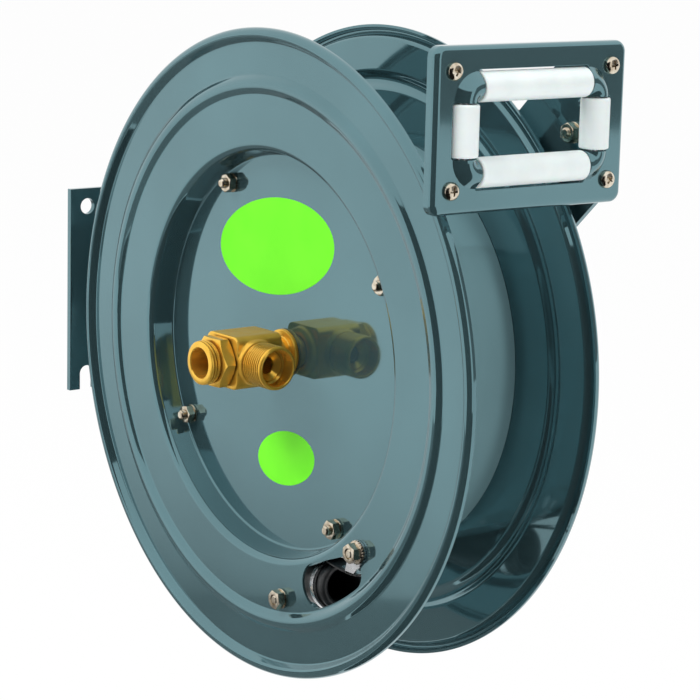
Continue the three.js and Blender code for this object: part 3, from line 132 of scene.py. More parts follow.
# Swivel and stem
STEM_RADIUS = 13
STEM_BORE = 9
STEM_END = -69
STEM_ROOT = -28
SEAL_GROOVE = (10.8, -61.4, -58.6)
COLLAR_RADIUS = 18.5
PORT_PLACE = 76.5
PORT_REACH = 47
PORT_RADIUS = 16.6
PORT_NECK = 15
PORT_BORE = 11.5
PORT_MOUTH = 13.6
PORT_SEGMENTS = 144
SEAT_DEPTH = 11
SEAT_BORE = 6.5
BODY_HALF = 20
BODY_NEAR = 94
BODY_FAR = 53
NOSE_TOP = -47
ROOT_RADIUS = 17.4
ROOT_END = BODY_HALF + 4
NIPPLE_END = 114.5
NIPPLE_HEX = (36, 10.5)
PIPE_PITCH = 2.309
THREAD_DEPTH = 1.3
FORGING_VOXEL = 0.6

# Bracket, arm and axle
AXLE_RADIUS = 12.5
AXLE_HOLE = 12.8
AXLE_FLANGE = (40, 6)
ARM_INSIDE = 79
ARM_SHEET = 4
ARM_HALF = 50
ARM_RISE = 43.8
ARM_ABOVE = 45
BRACKET_INSIDE = ARM_INSIDE + ARM_SHEET + SEAT
BRACKET_SHEET = 5
BRACKET_OUTSIDE = BRACKET_INSIDE + BRACKET_SHEET
BRACKET_END = 62
FLANGE_TOP = 96
FLANGE_BOTTOM = -74
FLANGE_HALF = 66
SHOULDER = 40
WALL_HOLE = 6.5
WALL_HOLE_SIDE = 49.5
WALL_HOLE_UP = 81
WALL_SLOT_UP = -60.5
HUB_BOLT_CIRCLE = 28
HUB_BOLT_ANGLES = (90, 210, 330)

# Hub, ratchet and pawl
HUB_LENGTH = 24
HUB_RADIUS = 20.3
HUB_BORE = 16
HUB_FLANGE = (46, 4)
RATCHET_SHEET = 5
TOOTH_COUNT = 12
FIRST_TOOTH = 111
# One tooth, from its root to its steep face: radius, and angle before that face
TOOTH = ((42, 30), (46, 13.5), (50, 2.4), (50, 0))
PAWL_PIVOT = (78, 150)
PIVOT_HEAD = 7

# Hose guide, from its own middle, X ahead
GUIDE_FORWARD = 228
GUIDE_UP = 193
GUIDE_HALF = (87, 57)
GUIDE_CORNER = 8
GUIDE_EDGE = 5
GUIDE_SHEET = 2
MIDDLE_GAP = 0.15
FRONT = MIDDLE_GAP + GUIDE_SHEET
WINDOW_LONG = (50, 40.7)
WINDOW_SHORT = (71.7, 19)
WINDOW_CORNER = 1.5
GUIDE_FLANGE_SHEET = 3
ARM_BOLTS = ((GUIDE_FORWARD - 36, GUIDE_UP - 11), (GUIDE_FORWARD - 68, GUIDE_UP - 36))
ARM_SPARE = (GUIDE_FORWARD - 30, GUIDE_UP + 11)
ARM_BOLT_HOLE = 4.3
ELBOW_RISE = 9.5
ELBOW_SPREAD = 13.5
ELBOW_FULLNESS = 0.7
ROLLER_RADIUS = 10.5
ROLLER_LONG = 98
ROLLER_SHORT = 36
LONG_OFFSET = 29
SHORT_OFFSET = 60
# Name, sideways, up, turn and length of each roller
ROLLERS = (
    ("bottom", 0, -LONG_OFFSET, 0, ROLLER_LONG),
    ("left", -SHORT_OFFSET, 0, 90, ROLLER_SHORT),
    ("top", 0, LONG_OFFSET, 0, ROLLER_LONG),
    ("right", SHORT_OFFSET, 0, 90, ROLLER_SHORT),
)
PIN_RADIUS = 3
PIN_PAST_ROLLER = 6
CORNERS = ((1, 1), (-1, 1), (-1, -1), (1, -1))
SCREW_ORDER = ((-1, 1), (1, 1), (1, -1), (-1, -1))
SCREW_SIDE = 71.5
SCREW_UP = 40
SCREW_HOLE = 2.8
SCREW_SHANK = 2.45
SCREW_PITCH = 0.8
SCREW_LENGTH = 10

# ---- Studio, in metres, degrees and watts ----

CAMERA_PLACE = (1.76426, -1.14988, 0.369445)
CAMERA_AZIMUTH = 51.86292
CAMERA_ELEVATION = 11.09106
CAMERA_ROLL = 1.48258
CAMERA_LENS = 128.787
ROOM_LIGHT = 0.45
FLOOR_LEVEL = -0.6
FLOOR_SIZE = 60
FLOOR_SHADE = 0.9
FLOOR_GLOW = 0.97
MIDDLE = (AXLE_TO_WALL * MM, 0, 0)
SOFTBOX = ((-0.6, -3.2, 3.0), (2.2, 1.2))
STRIP_BOX = ((2.6, 0.35, 1.0), (0.25, 1.8))
# Name, place, size, power, and whether polished faces mirror it
LAMPS = (
    ("key", *SOFTBOX, 100, False),
    ("shine", *SOFTBOX, 45, True),
    ("strip", *STRIP_BOX, 15, False),
    ("edge", *STRIP_BOX, 5, True),
    ("above", (0.6, 0.2, 3.6), (1.6, 1.6), 60, False),
)
CARD_LEAN = 0.35
CARD_STEPS = ((0.02, 0.2), (0.14, 0.6), (0.34, 0.9), (0.6, 1.02))
# Name, place, the point that it faces, size, and its one shade or its (height, shade) steps
PANELS = (
    ("flag_camera", (1.55, -1.6, 0.45), MIDDLE, (3.4, 2.0), 0.01),
    ("flag_right", (2.6, 1.9, 0.95), (0.265, 0, 0.95), (3.0, 2.1), 0.16),
    ("flag_table", (1.8, -1.55, -0.58), (1.8, -1.55, 0), (3.2, 3.3), 0.01),
    ("floor_left", (-0.62, -1.1, -0.58), (-0.62, -1.1, 0), (1.6, 2.2), 0.25),
    ("card_left", (-0.84, -0.87, -0.24), (0.265, 0, 0.05), (1.3, 0.76), CARD_STEPS),
)


# ---- Mesh helpers: points in millimetres, in the reel's own frame ----


def polar(radius, angle):
    return radius * cos(radians(angle)), radius * sin(radians(angle))


class Shape:
    """Points in millimetres and faces, which one piece is made of."""

    def __init__(self, points=(), faces=()):
        self.points = [Vector(p) for p in points]
        self.faces = [tuple(f) for f in faces]

    def add(self, other):
        start = len(self.points)
        self.points += [p.copy() for p in other.points]
        self.faces += [tuple(i + start for i in f) for f in other.faces]
        return self

    def moved(self, matrix):
        return Shape([matrix @ p for p in self.points], self.faces)

    def at(self, x, y, z):
        return self.moved(Matrix.Translation((x, y, z)))

    def turned(self, angle, axis):
        return self.moved(Matrix.Rotation(radians(angle), 4, axis))


def grid(rows, close_rows=False, close_columns=True):
    """A surface over rows of equally many points."""
    count = len(rows[0])
    points = [p for row in rows for p in row]
    faces = []
    for r in range(len(rows) if close_rows else len(rows) - 1):
        below, above = r * count, (r + 1) % len(rows) * count
        for c in range(count if close_columns else count - 1):
            d = (c + 1) % count
            faces.append((below + c, below + d, above + d, above + c))
    return Shape(points, faces)


def lathe(outline, segments=96):
    """Turns a closed outline of (radius, y) about the Y axis."""
    rows = []
    for radius, y in outline:
        turn = [polar(radius, 360 * i / segments) for i in range(segments)]
        rows.append([(x, y, z) for x, z in turn])
    return grid(rows, close_rows=True)


def rod(radius, low, high, segments=96):
    return lathe([(0, low), (radius, low), (radius, high), (0, high)], segments)


def rounded(corners, steps=6):
    """A line whose inner corners (x, y, bend) become arcs of that radius."""
    line = []
    for i, corner in enumerate(corners):
        here = Vector(corner[:2])
        if len(corner) < 3:
            line.append(here)
            continue
        back = (Vector(corners[i - 1][:2]) - here).normalized()
        ahead = (Vector(corners[(i + 1) % len(corners)][:2]) - here).normalized()
        half = acos(max(-1, min(1, back.dot(ahead)))) / 2
        middle = (back + ahead).normalized()
        centre = here + middle * (corner[2] / sin(half))
        side = 1 if back.x * ahead.y - back.y * ahead.x > 0 else -1
        for step in range(steps + 1):
            turn = -side * (pi - 2 * half) * (step / steps - 0.5)
            x, y = -middle
            out = Vector((x * cos(turn) - y * sin(turn), x * sin(turn) + y * cos(turn)))
            line.append(centre + out * corner[2])
    return line


def sheet_outline(line, thickness):
    """A closed outline of even thickness along a line."""
    sides = []
    for i in range(len(line)):
        before = line[max(i - 1, 0)]
        after = line[min(i + 1, len(line) - 1)]
        along = (after - before).normalized()
        sides.append(Vector((-along.y, along.x)) * thickness / 2)
    return [p + s for p, s in zip(line, sides)] + [p - s for p, s in zip(line, sides)][::-1]


def capped(shape, sides):
    """Closes the first and the last ring of a shape."""
    last = len(shape.points) - sides
    shape.faces += [tuple(range(sides))[::-1], tuple(range(last, last + sides))]
    return shape


def prism(outline, low, high, axis="Y"):
    """A closed outline, as a solid from low to high along an axis."""
    count = len(outline)
    points = []
    for height in (low, high):
        for corner in outline:
            point = list(corner)
            point.insert("XYZ".index(axis), height)
            points.append(point)
    faces = [(i, (i + 1) % count, (i + 1) % count + count, i + count) for i in range(count)]
    return capped(Shape(points, faces), count)


def arc(x, y, radius, start, end, steps=16):
    return [
        Vector((x, y)) + Vector(polar(radius, start + (end - start) * i / steps))
        for i in range(steps + 1)
    ]


def round_box(half_width, half_height, corner, steps=8):
    w, h = half_width - corner, half_height - corner
    return (
        arc(w, h, corner, 0, 90, steps)
        + arc(-w, h, corner, 90, 180, steps)
        + arc(-w, -h, corner, 180, 270, steps)
        + arc(w, -h, corner, 270, 360, steps)
    )


def tube(path, radii, sides):
    """A surface round a line of points, with one radius for each."""
    rows = []
    across = None
    for i, here in enumerate(path):
        along = (path[min(i + 1, len(path) - 1)] - path[max(i - 1, 0)]).normalized()
        if across is None:
            across = along.cross(Vector((0, 1, 0))).normalized()
        across = (across - along * across.dot(along)).normalized()
        up = along.cross(across)
        turn = [2 * pi * k / sides for k in range(sides)]
        rows.append([here + (across * cos(t) + up * sin(t)) * radii[i] for t in turn])
    return grid(rows)


def level_ring(ring, radius, y):
    """A ring of points round the Y axis, brought to this radius and height."""
    return [(p.x / hypot(p.x, p.z) * radius, y, p.z / hypot(p.x, p.z) * radius) for p in ring]


def thread(radius, pitch, depth, start, end, segments, steps=6):
    """A helical thread's skin along Y, with level crests and pointed grooves, faded at both ends."""
    faded = 0.3
    length = end - start
    count = ceil(abs(length) / pitch * steps)
    rows = []
    for i in range(count + 1):
        share = i / count
        fade = min(1, share * count / steps, (1 - share) * count / steps)
        row = []
        for k in range(segments):
            phase = (length * share / pitch + k / segments) % 1
            groove = max(0, abs(2 * phase - 1) * (1 + THREAD_CREST) - THREAD_CREST)
            x, z = polar(radius - depth * (groove * fade + faded * (1 - fade)), 360 * k / segments)
            row.append((x, start + length * share, z))
        rows.append(row)
    return grid(rows)


def hex_head(across, low, high, hole, segments=72, slope=0.55):
    """A hexagon nut or head along Y, its corners cut by a shallow cone at both ends."""
    flat = across / 2 * CHAMFER_START
    columns = []
    for k in range(segments):
        angle = 360 * k / segments
        edge = across / 2 / cos(radians(angle % 60 - 30))
        drop = max(0, edge - flat) * slope
        outline = [(hole, low), (flat, low), (edge, low + drop)]
        outline += [(edge, high - drop), (flat, high), (hole, high)]
        column = []
        for radius, y in outline:
            x, z = polar(radius, angle)
            column.append((x, y, z))
        columns.append(column)
    return grid(list(zip(*columns)), close_rows=True)


def mesh_of(shape, name):
    data = bpy.data.meshes.new(name)
    data.from_pydata([(p * MM)[:] for p in shape.points], [], shape.faces)
    work = bmesh.new()
    work.from_mesh(data)
    bmesh.ops.remove_doubles(work, verts=work.verts, dist=1e-6)
    bmesh.ops.dissolve_degenerate(work, edges=work.edges, dist=1e-7)
    bmesh.ops.recalc_face_normals(work, faces=work.faces)
    work.to_mesh(data)
    work.free()
    return data


def solid(name, shape):
    """A plain object in the reel's place, not yet a piece."""
    made = bpy.data.objects.new(name, mesh_of(shape.at(AXLE_TO_WALL, 0, 0), name))
    bpy.context.scene.collection.objects.link(made)
    return made


def bake(made):
    """Applies the modifiers."""
    graph = bpy.context.evaluated_depsgraph_get()
    data = bpy.data.meshes.new_from_object(made.evaluated_get(graph))
    made.modifiers.clear()
    made.data = data


def combine(made, shape, operation="DIFFERENCE"):
    tool = solid("tool", shape)
    change = made.modifiers.new("combine", "BOOLEAN")
    change.object = tool
    change.operation = operation
    change.solver = "EXACT"
    bake(made)
    bpy.data.objects.remove(tool)


def drill(made, places, radius, low, high):
    for x, z in places:
        combine(made, rod(radius, low, high, 48).at(x, 0, z))


def bevel(made, width, angle=35):
    change = made.modifiers.new("bevel", "BEVEL")
    change.width = width * MM
    change.segments = 2
    change.limit_method = "ANGLE"
    change.angle_limit = radians(angle)
    bake(made)


def finished(made, material, body, nodes=(), sharp=32):
    """Smooth shading, the material, the body empty that carries the object, and the CAD parts that it
    replaces, hidden.
    """
    made.data.materials.clear()
    made.data.materials.append(material)
    for face in made.data.polygons:
        face.use_smooth = True
        face.material_index = 0
    made.data.set_sharp_from_angle(angle=radians(sharp))
    even = made.modifiers.new("even", "WEIGHTED_NORMAL")
    even.keep_sharp = True
    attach(made, body)
    if nodes:
        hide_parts(*nodes)
    return made


def piece(name, shape, material, body, nodes=(), sharp=32):
    return finished(solid(name, shape), material, body, nodes, sharp)


# ---- Materials ----

# Sockets of a Mix node that works on colours: the two inputs and the result
MIX_FIRST, MIX_SECOND, MIX_RESULT = 6, 7, 2


class Finish:
    """A node material built step by step round one Principled shader."""

    def __init__(self, name, colour, metallic, roughness, **extra):
        self.material = bpy.data.materials.new(name)
        self.material.use_nodes = True
        self.tree = self.material.node_tree
        self.shader = self.tree.nodes["Principled BSDF"]
        self.set("Base Color", (*colour, 1))
        self.set("Metallic", metallic)
        self.set("Roughness", roughness)
        for socket, value in extra.items():
            self.set(socket.replace("_", " "), value)
        self.place = self.node("ShaderNodeTexCoord").outputs["Object"]

    def set(self, socket, value):
        self.shader.inputs[socket].default_value = value

    def node(self, kind, **values):
        made = self.tree.nodes.new(kind)
        for key, value in values.items():
            setattr(made, key, value)
        return made

    def join(self, source, target):
        self.tree.links.new(source, target)

    def noise(self, scale, detail=3.0, stretch=(1, 1, 1)):
        mapping = self.node("ShaderNodeMapping")
        mapping.inputs["Scale"].default_value = stretch
        self.join(self.place, mapping.inputs["Vector"])
        made = self.node("ShaderNodeTexNoise")
        made.inputs["Scale"].default_value = scale
        made.inputs["Detail"].default_value = detail
        self.join(mapping.outputs["Vector"], made.inputs["Vector"])
        return made.outputs["Fac"]

    def ramp(self, source, low, high, start=0.35, end=0.65):
        """Maps a pattern onto a range of numbers or colours."""
        made = self.node("ShaderNodeValToRGB")
        first, last = made.color_ramp.elements
        for element, at, value in ((first, start, low), (last, end, high)):
            element.position = at
            element.color = (*value, 1) if isinstance(value, tuple) else (value, value, value, 1)
        self.join(source, made.inputs["Fac"])
        return made.outputs["Color"]

    def colours(self, source, low, high):
        self.join(self.ramp(source, low, high), self.shader.inputs["Base Color"])

    def roughens(self, source, low, high):
        self.join(self.ramp(source, low, high), self.shader.inputs["Roughness"])

    def paints_hollow_shade(self, source, depth, shade):
        """Paints shade into the colour: darker in grooves and corners narrower than this depth in
        millimetres, found by ambient occlusion.
        """
        hollow = self.node("ShaderNodeAmbientOcclusion", samples=6)
        hollow.inputs["Distance"].default_value = depth * MM
        blend = self.node("ShaderNodeMix", data_type="RGBA", blend_type="MULTIPLY")
        blend.inputs["Factor"].default_value = 1
        self.join(source, blend.inputs[MIX_FIRST])
        shading = self.ramp(hollow.outputs["AO"], shade, (1.0, 1.0, 1.0), start=0.3, end=0.85)
        self.join(shading, blend.inputs[MIX_SECOND])
        self.join(blend.outputs[MIX_RESULT], self.shader.inputs["Base Color"])

    def bumps(self, source, height):
        """Adds relief of about this height in millimetres, and gives the material back."""
        made = self.node("ShaderNodeBump")
        made.inputs["Distance"].default_value = height * MM
        self.join(source, made.inputs["Height"])
        self.join(made.outputs["Normal"], self.shader.inputs["Normal"])
        return self.material


def make_paint(name, colour, metallic):
    """Slate-teal enamel with the faintest orange peel."""
    dark, light = [tuple(share * c for c in colour) for share in (0.95, 1.05)]
    paint = Finish(name, colour, metallic, 0.06, Coat_Weight=0.4, Coat_Roughness=0.02)
    paint.colours(paint.noise(9), dark, light)
    paint.roughens(paint.noise(40), 0.05, 0.07)
    return paint.bumps(paint.noise(110, 1), 0.0006)


def make_brass(name, roughness, grain, relief):
    """Golden brass: turned faces are smoother than forged ones."""
    brass = Finish(name, (0.93, 0.55, 0.075), 0.72, roughness)
    mottle = brass.ramp(brass.noise(70), (0.90, 0.52, 0.065), (0.96, 0.58, 0.085))
    # Painted shade: the colour darkens in the thread grooves and where the brass comes close to other
    # geometry.
    brass.paints_hollow_shade(mottle, 3, (0.32, 0.20, 0.10))
    brass.roughens(brass.noise(120), roughness - 0.04, roughness + 0.05)
    return brass.bumps(brass.noise(grain), relief)


def make_metal(name, dark, light, roughness, scale=160, relief=0.01):
    metal = Finish(name, light, 1.0, roughness)
    metal.colours(metal.noise(scale, 4), dark, light)
    metal.roughens(metal.noise(scale * 3), roughness - 0.06, roughness + 0.1)
    return metal.bumps(metal.noise(scale * 6, 2), relief)


def make_rubber():
    rubber = Finish("rubber", (0.007, 0.009, 0.010), 0.0, 0.42)
    rubber.colours(rubber.noise(120), (0.005, 0.006, 0.007), (0.011, 0.013, 0.014))
    rubber.roughens(rubber.noise(400), 0.34, 0.52)
    return rubber.bumps(rubber.noise(1400, 2), 0.03)


def make_nylon():
    nylon = Finish("nylon", (0.78, 0.84, 0.835), 0.0, 0.38, Subsurface_Weight=0.15, Subsurface_Scale=0.003)
    nylon.colours(nylon.noise(40), (0.75, 0.815, 0.81), (0.80, 0.865, 0.86))
    nylon.roughens(nylon.noise(220), 0.32, 0.45)
    return nylon.bumps(nylon.noise(900, 2, stretch=(1, 0.2, 0.2)), 0.01)


def make_film():
    """The blank green film of the two oval labels."""
    film = Finish("film", (0.16, 0.86, 0.012), 0.0, 0.5, Specular_IOR_Level=0.2)
    film.colours(film.noise(30), (0.15, 0.84, 0.010), (0.17, 0.88, 0.014))
    return film.bumps(film.noise(500, 2), 0.004)


PAINT = make_paint("paint", (0.118, 0.232, 0.258), metallic=0.8)
# Painted light: the core gets a lighter, less metallic copy of the discs' paint, so that it shows as lit.
LIT_CORE_PAINT = make_paint("paint_core_lit", (0.19, 0.33, 0.36), metallic=0.15)
FORGED = make_brass("brass_forged", roughness=0.34, grain=500, relief=0.012)
TURNED = make_brass("brass_turned", roughness=0.21, grain=900, relief=0.002)
STEEL = make_metal("steel", (0.66, 0.67, 0.68), (0.80, 0.81, 0.82), 0.24, relief=0.001)
OXIDE = make_metal("steel_oiled", (0.16, 0.165, 0.17), (0.30, 0.30, 0.31), 0.34)
ZINC = make_metal("zinc", (0.56, 0.47, 0.35), (0.80, 0.73, 0.60), 0.16, scale=240)
BRONZE = make_metal("bronze", (0.42, 0.25, 0.11), (0.62, 0.40, 0.19), 0.42, scale=420, relief=0.03)
RUBBER = make_rubber()
NYLON = make_nylon()
FILM = make_film()


# ---- Discs, core and labels ----

# A disc's section, from the centre plate out to the rim: radius, height and bend
DISC_LINE = (
    (RECESS_RADIUS - RECESS_TAPER, PLATE_PLANE, 3),
    (RECESS_RADIUS, RING_PLANE, 5),
    (BEAD_RADIUS - BEAD_HALF, RING_PLANE, 4),
    (BEAD_RADIUS, RING_PLANE + BEAD_HEIGHT, 7),
    (BEAD_RADIUS + BEAD_HALF, RING_PLANE, 4),
    (DISC_RADIUS - RIM_WIDTH, RING_PLANE, 2.5),
    (DISC_RADIUS - RIM_WIDTH + 3.5, RING_PLANE + RIM_HEIGHT - 1, 2.5),
    (DISC_RADIUS, RING_PLANE + RIM_HEIGHT, 4),
    (DISC_RADIUS, RING_PLANE + 0.5),
)


def disc(hole, side):
    line = rounded([(hole, PLATE_PLANE), *DISC_LINE], 8)
    return lathe([(r, side * y) for r, y in sheet_outline(line, DISC_SHEET)], DISC_SEGMENTS)


def opening_outline():
    """The hose's opening: a bent slot with two round ends of different sizes."""
    (wide, wide_at), (narrow, narrow_at) = OPENING_ENDS
    wide_x, wide_z = polar(OPENING_OUTER - wide, wide_at)
    narrow_x, narrow_z = polar(OPENING_OUTER - narrow, narrow_at)
    return (
        arc(0, 0, OPENING_OUTER, wide_at, narrow_at, 12)
        + arc(narrow_x, narrow_z, narrow, narrow_at, narrow_at + 180, 24)[1:]
        + arc(wide_x, wide_z, wide, wide_at + 180, wide_at + 360, 24)[:-1]
    )


def make_discs():
    near = solid("disc_near", disc(NEAR_HOLE, -1))
    combine(near, prism(opening_outline(), -RING_PLANE - PAST, -RING_PLANE + PAST))
    finished(near, PAINT, "drum", ["near_disc"], sharp=40)
    piece("disc_far", disc(FAR_HOLE, 1), PAINT, "drum", ["far_disc"], sharp=40)


def make_core():
    half = RING_PLANE - DISC_SHEET / 2 - SEAT
    inner = CORE_RADIUS - CORE_SHEET
    outline = [(inner, -half), (CORE_RADIUS, -half), (CORE_RADIUS, half), (inner, half)]
    core = solid("core", lathe(outline, DISC_SEGMENTS))
    room = HOSE_RADIUS + CUFF + CLIP_SHEET + HOSE_ROOM
    combine(core, capped(tube(HOSE, [room] * len(HOSE), 48), 48))
    finished(core, LIT_CORE_PAINT, "drum", ["drum_core"])


def make_labels():
    """Two blank ovals of film on the centre plate."""
    face = -PLATE_PLANE - DISC_SHEET / 2
    turn = [2 * pi * k / LABEL_SEGMENTS for k in range(LABEL_SEGMENTS)]
    for name, (x, z), (wide, high), tilt in LABELS:
        rows = []
        for share, lift in FILM_EDGE:
            rows.append([(wide * share * cos(t), face - lift, high * share * sin(t)) for t in turn])
        oval = capped(grid(rows), LABEL_SEGMENTS)
        label = piece(name, oval.turned(-tilt, "Y").at(x, 0, z), FILM, "drum")
        label.visible_glossy = False
        label.visible_diffuse = False


# ---- Fasteners: made along Y with the bearing face at zero, standing towards -Y ----


def washer(hole=BOLT_RADIUS + 0.3, edge=0.25):
    outline = [(hole, -WASHER_HEIGHT), (WASHER_RADIUS - edge, -WASHER_HEIGHT)]
    outline += [(WASHER_RADIUS, edge - WASHER_HEIGHT), (WASHER_RADIUS, -edge)]
    outline += [(WASHER_RADIUS - edge, 0), (hole, 0)]
    return lathe(outline, 64)


def nut():
    return washer().add(hex_head(NUT_ACROSS, NUT_TOP, -WASHER_HEIGHT, NUT_HOLE))


def hex_cap():
    """A bolt's hexagon head with the round washer face under it."""
    shape = hex_head(NUT_ACROSS, -CAP_HEIGHT, -CAP_FACE, 0)
    return shape.add(rod(NUT_ACROSS / 2 * 0.95, -CAP_FACE - 0.1, 0, 48))


def threaded_rod(start, end, radius=SHANK_RADIUS, pitch=BOLT_PITCH, segments=48):
    """A screw thread along Y with a chamfered end at the second height."""
    way = 1 if end > start else -1
    body = thread(radius, pitch, pitch / 2, start, end - way * 0.8, segments)
    rows = [body.points[-segments:]]
    for share, y in ((0.84, end - way * 0.5), (0.66, end), (0.01, end)):
        rows.append(level_ring(rows[0], radius * share, y))
    return body.add(grid(rows))


def flipped(shape):
    return shape.turned(180, "X")


def flange_nut():
    """A nut with a round toothed flange, as on the disc's ring."""
    segments = 144
    tooth = 6
    rows = []
    for radius, y, height in (
        (4.2, 0, 0),
        (8.6, 0, 0.5),
        (8.8, -0.8, 0.5),
        (8.2, -1.5, 0.3),
        (6.9, -2.1, 0),
        (4.2, -2.1, 0),
    ):
        row = []
        for k in range(segments):
            reach = radius + height * (0.5 if k % tooth < tooth / 2 else -0.5)
            x, z = polar(reach, 360 * k / segments)
            row.append((x, y, z))
        rows.append(row)
    shape = grid(rows, close_rows=True)
    return shape.add(hex_head(NUT_ACROSS, NUT_TOP, -WASHER_HEIGHT - 0.1, NUT_HOLE))


def pan_head():
    """A pan head along +Y with a cross recess."""
    dome = [(0, 0), (6.3, 0), (6.3, 1.0), (6.0, 1.9), (5.3, 2.8), (4.0, 3.5), (2.2, 3.9), (0, 4.0)]
    wing = prism([(-3.6, 4.2), (3.6, 4.2), (1.1, 1.4), (-1.1, 1.4)], -0.75, 0.75, "Z")
    made = solid("tool_head", lathe(dome, 64))
    for turn in (20, 110):
        combine(made, wing.turned(turn, "Y"))
    middle = Vector((AXLE_TO_WALL, 0, 0))
    points = [vertex.co / MM - middle for vertex in made.data.vertices]
    shape = Shape(points, [face.vertices for face in made.data.polygons])
    bpy.data.objects.remove(made)
    return shape


def drum_fastener(name, shape, place, node):
    piece(name, shape.at(*place), ZINC, "drum", [node])


def make_tie_bolts():
    for i, angle in enumerate(TIE_ANGLES, 1):
        x, z = polar(TIE_CIRCLE, angle)
        drum_fastener(f"tie_nut_near_{i}", nut().turned(17 * i, "Y"), (x, -ON_PLATE, z), f"tie_nut_{i}")
        bolt = threaded_rod(ON_PLATE - 1, NUT_TOP - ON_PLATE - TIE_PAST_NUT)
        bolt.add(flipped(hex_cap()).at(0, ON_PLATE, 0))
        drum_fastener(f"tie_rod_{i}", bolt, (x, 0, z), f"tie_bolt_{i}")


def make_ring_bolts():
    """The bolt beside the opening and the one through the clip's ear."""
    x, z = polar(*RIM_BOLT)
    rim = nut().turned(10, "Y").add(threaded_rod(BEHIND_SHEET, NUT_TOP))
    drum_fastener("ring_bolt", rim, (x, -ON_RING, z), "rim_bolt")
    x, z = polar(*CLIP_BOLT)
    ear = flange_nut().turned(24, "Y").add(threaded_rod(BEHIND_SHEET, NUT_TOP))
    drum_fastener("ear_bolt", ear, (x, -ON_RING - CLIP_SHEET - SEAT, z), "clip_bolt")


def back_nut(name, turn, x, z, node):
    """A nut on the bracket's outer face."""
    shape = flipped(nut()).turned(turn, "Y").at(x, BRACKET_OUTSIDE + SEAT, z)
    piece(name, shape, ZINC, "frame", [node])


# ---- Hose and its clip ----


def hose_points():
    """The hose's route, as in the CAD source."""
    points = [(*polar(reach, FEED_ANGLE), 0) for reach in FEED_REACHES]
    points += [(*polar(CORE_RADIUS + outside, angle), share) for outside, angle, share in HOSE_ROUTE]
    return [Vector((x, HOSE_SIDE + HOSE_SWAY * share, z)) for x, z, share in points]


def smooth_path(points, steps=16):
    """A centripetal Catmull-Rom curve through the points."""
    ends = [2 * points[0] - points[1], *points, 2 * points[-1] - points[-2]]
    path = []
    for i in range(1, len(ends) - 2):
        a, b, c, d = ends[i - 1 : i + 3]
        gaps = [sqrt((q - p).length) for p, q in ((a, b), (b, c), (c, d))]
        leave = ((b - a) / gaps[0] - (c - a) / (gaps[0] + gaps[1]) + (c - b) / gaps[1]) * gaps[1]
        meet = ((c - b) / gaps[1] - (d - b) / (gaps[1] + gaps[2]) + (d - c) / gaps[2]) * gaps[1]
        for step in range(steps):
            t = step / steps
            square, cube = t * t, t * t * t
            path.append(
                b * (2 * cube - 3 * square + 1)
                + leave * (cube - 2 * square + t)
                + c * (3 * square - 2 * cube)
                + meet * (cube - square)
            )
    return path + [points[-1]]


HOSE = smooth_path(hose_points())


def hose_at(from_end):
    """The point this far before the hose's end, and the direction there."""
    left = from_end
    for before, here in zip(HOSE[-2::-1], HOSE[:0:-1]):
        step = (here - before).length
        if step >= left:
            break
        left -= step
    return here + (before - here) * (left / step), (here - before).normalized()


def hose_radii():
    """The outside radius at each point of the route, larger on the cuff."""
    steps = [(after - before).length for before, after in zip(HOSE, HOSE[1:])]
    cuff_at = sum(steps) - CUFF_LENGTH
    radii = [HOSE_RADIUS]
    run = 0
    for step in steps:
        run += step
        radii.append(HOSE_RADIUS + CUFF * max(0, min(1, (run - cuff_at) / CUFF_RISE)))
    return radii


def make_hose():
    """The moulded end of the hose, with its cuff, bore and rolled lip."""
    outside = tube(HOSE, hose_radii(), HOSE_SIDES)
    inside = tube(HOSE, [HOSE_BORE] * len(HOSE), HOSE_SIDES)
    end_at, end_along = hose_at(0)
    around = [(p - end_at).normalized() for p in outside.points[-HOSE_SIDES:]]
    widest = HOSE_RADIUS + CUFF
    lip = []
    for share, lift in HOSE_LIP:
        radius = widest + (HOSE_BORE - widest) * share
        lip.append([end_at + out * radius + end_along * lift for out in around])
    outside.points[-HOSE_SIDES:] = lip[0]
    inside.points[-HOSE_SIDES:] = lip[-1]
    inside.faces = [face[::-1] for face in inside.faces]
    count = len(outside.points)
    shape = outside.add(inside)
    for k in range(HOSE_SIDES):
        n = (k + 1) % HOSE_SIDES
        shape.faces.append((k, count + k, count + n, n))
    shape.add(grid(lip))
    piece("hose_end", shape, RUBBER, "drum", ["hose_stub"], sharp=50)


def strip(stations, thickness):
    """A flat strip through stations of (middle, half width along, face direction)."""
    rows = []
    for middle, wide, face in stations:
        lift = face.normalized() * thickness / 2
        rows.append([middle - wide - lift, middle + wide - lift, middle + wide + lift, middle - wide + lift])
    return capped(grid(rows), 4)


def band(inner, outer, half, edge):
    """A hoop round the hose in the clip's place, its corners broken by the edge."""
    outline = [(inner, half - edge), (inner, edge - half), (inner + edge, -half), (outer - edge, -half)]
    outline += [(outer, edge - half), (outer, half - edge), (outer - edge, half), (inner + edge, half)]
    centre, along = hose_at(CLIP_PLACE)
    turn = Vector((0, 1, 0)).rotation_difference(along)
    return lathe(outline, 128).moved(Matrix.Translation(centre) @ turn.to_matrix().to_4x4())


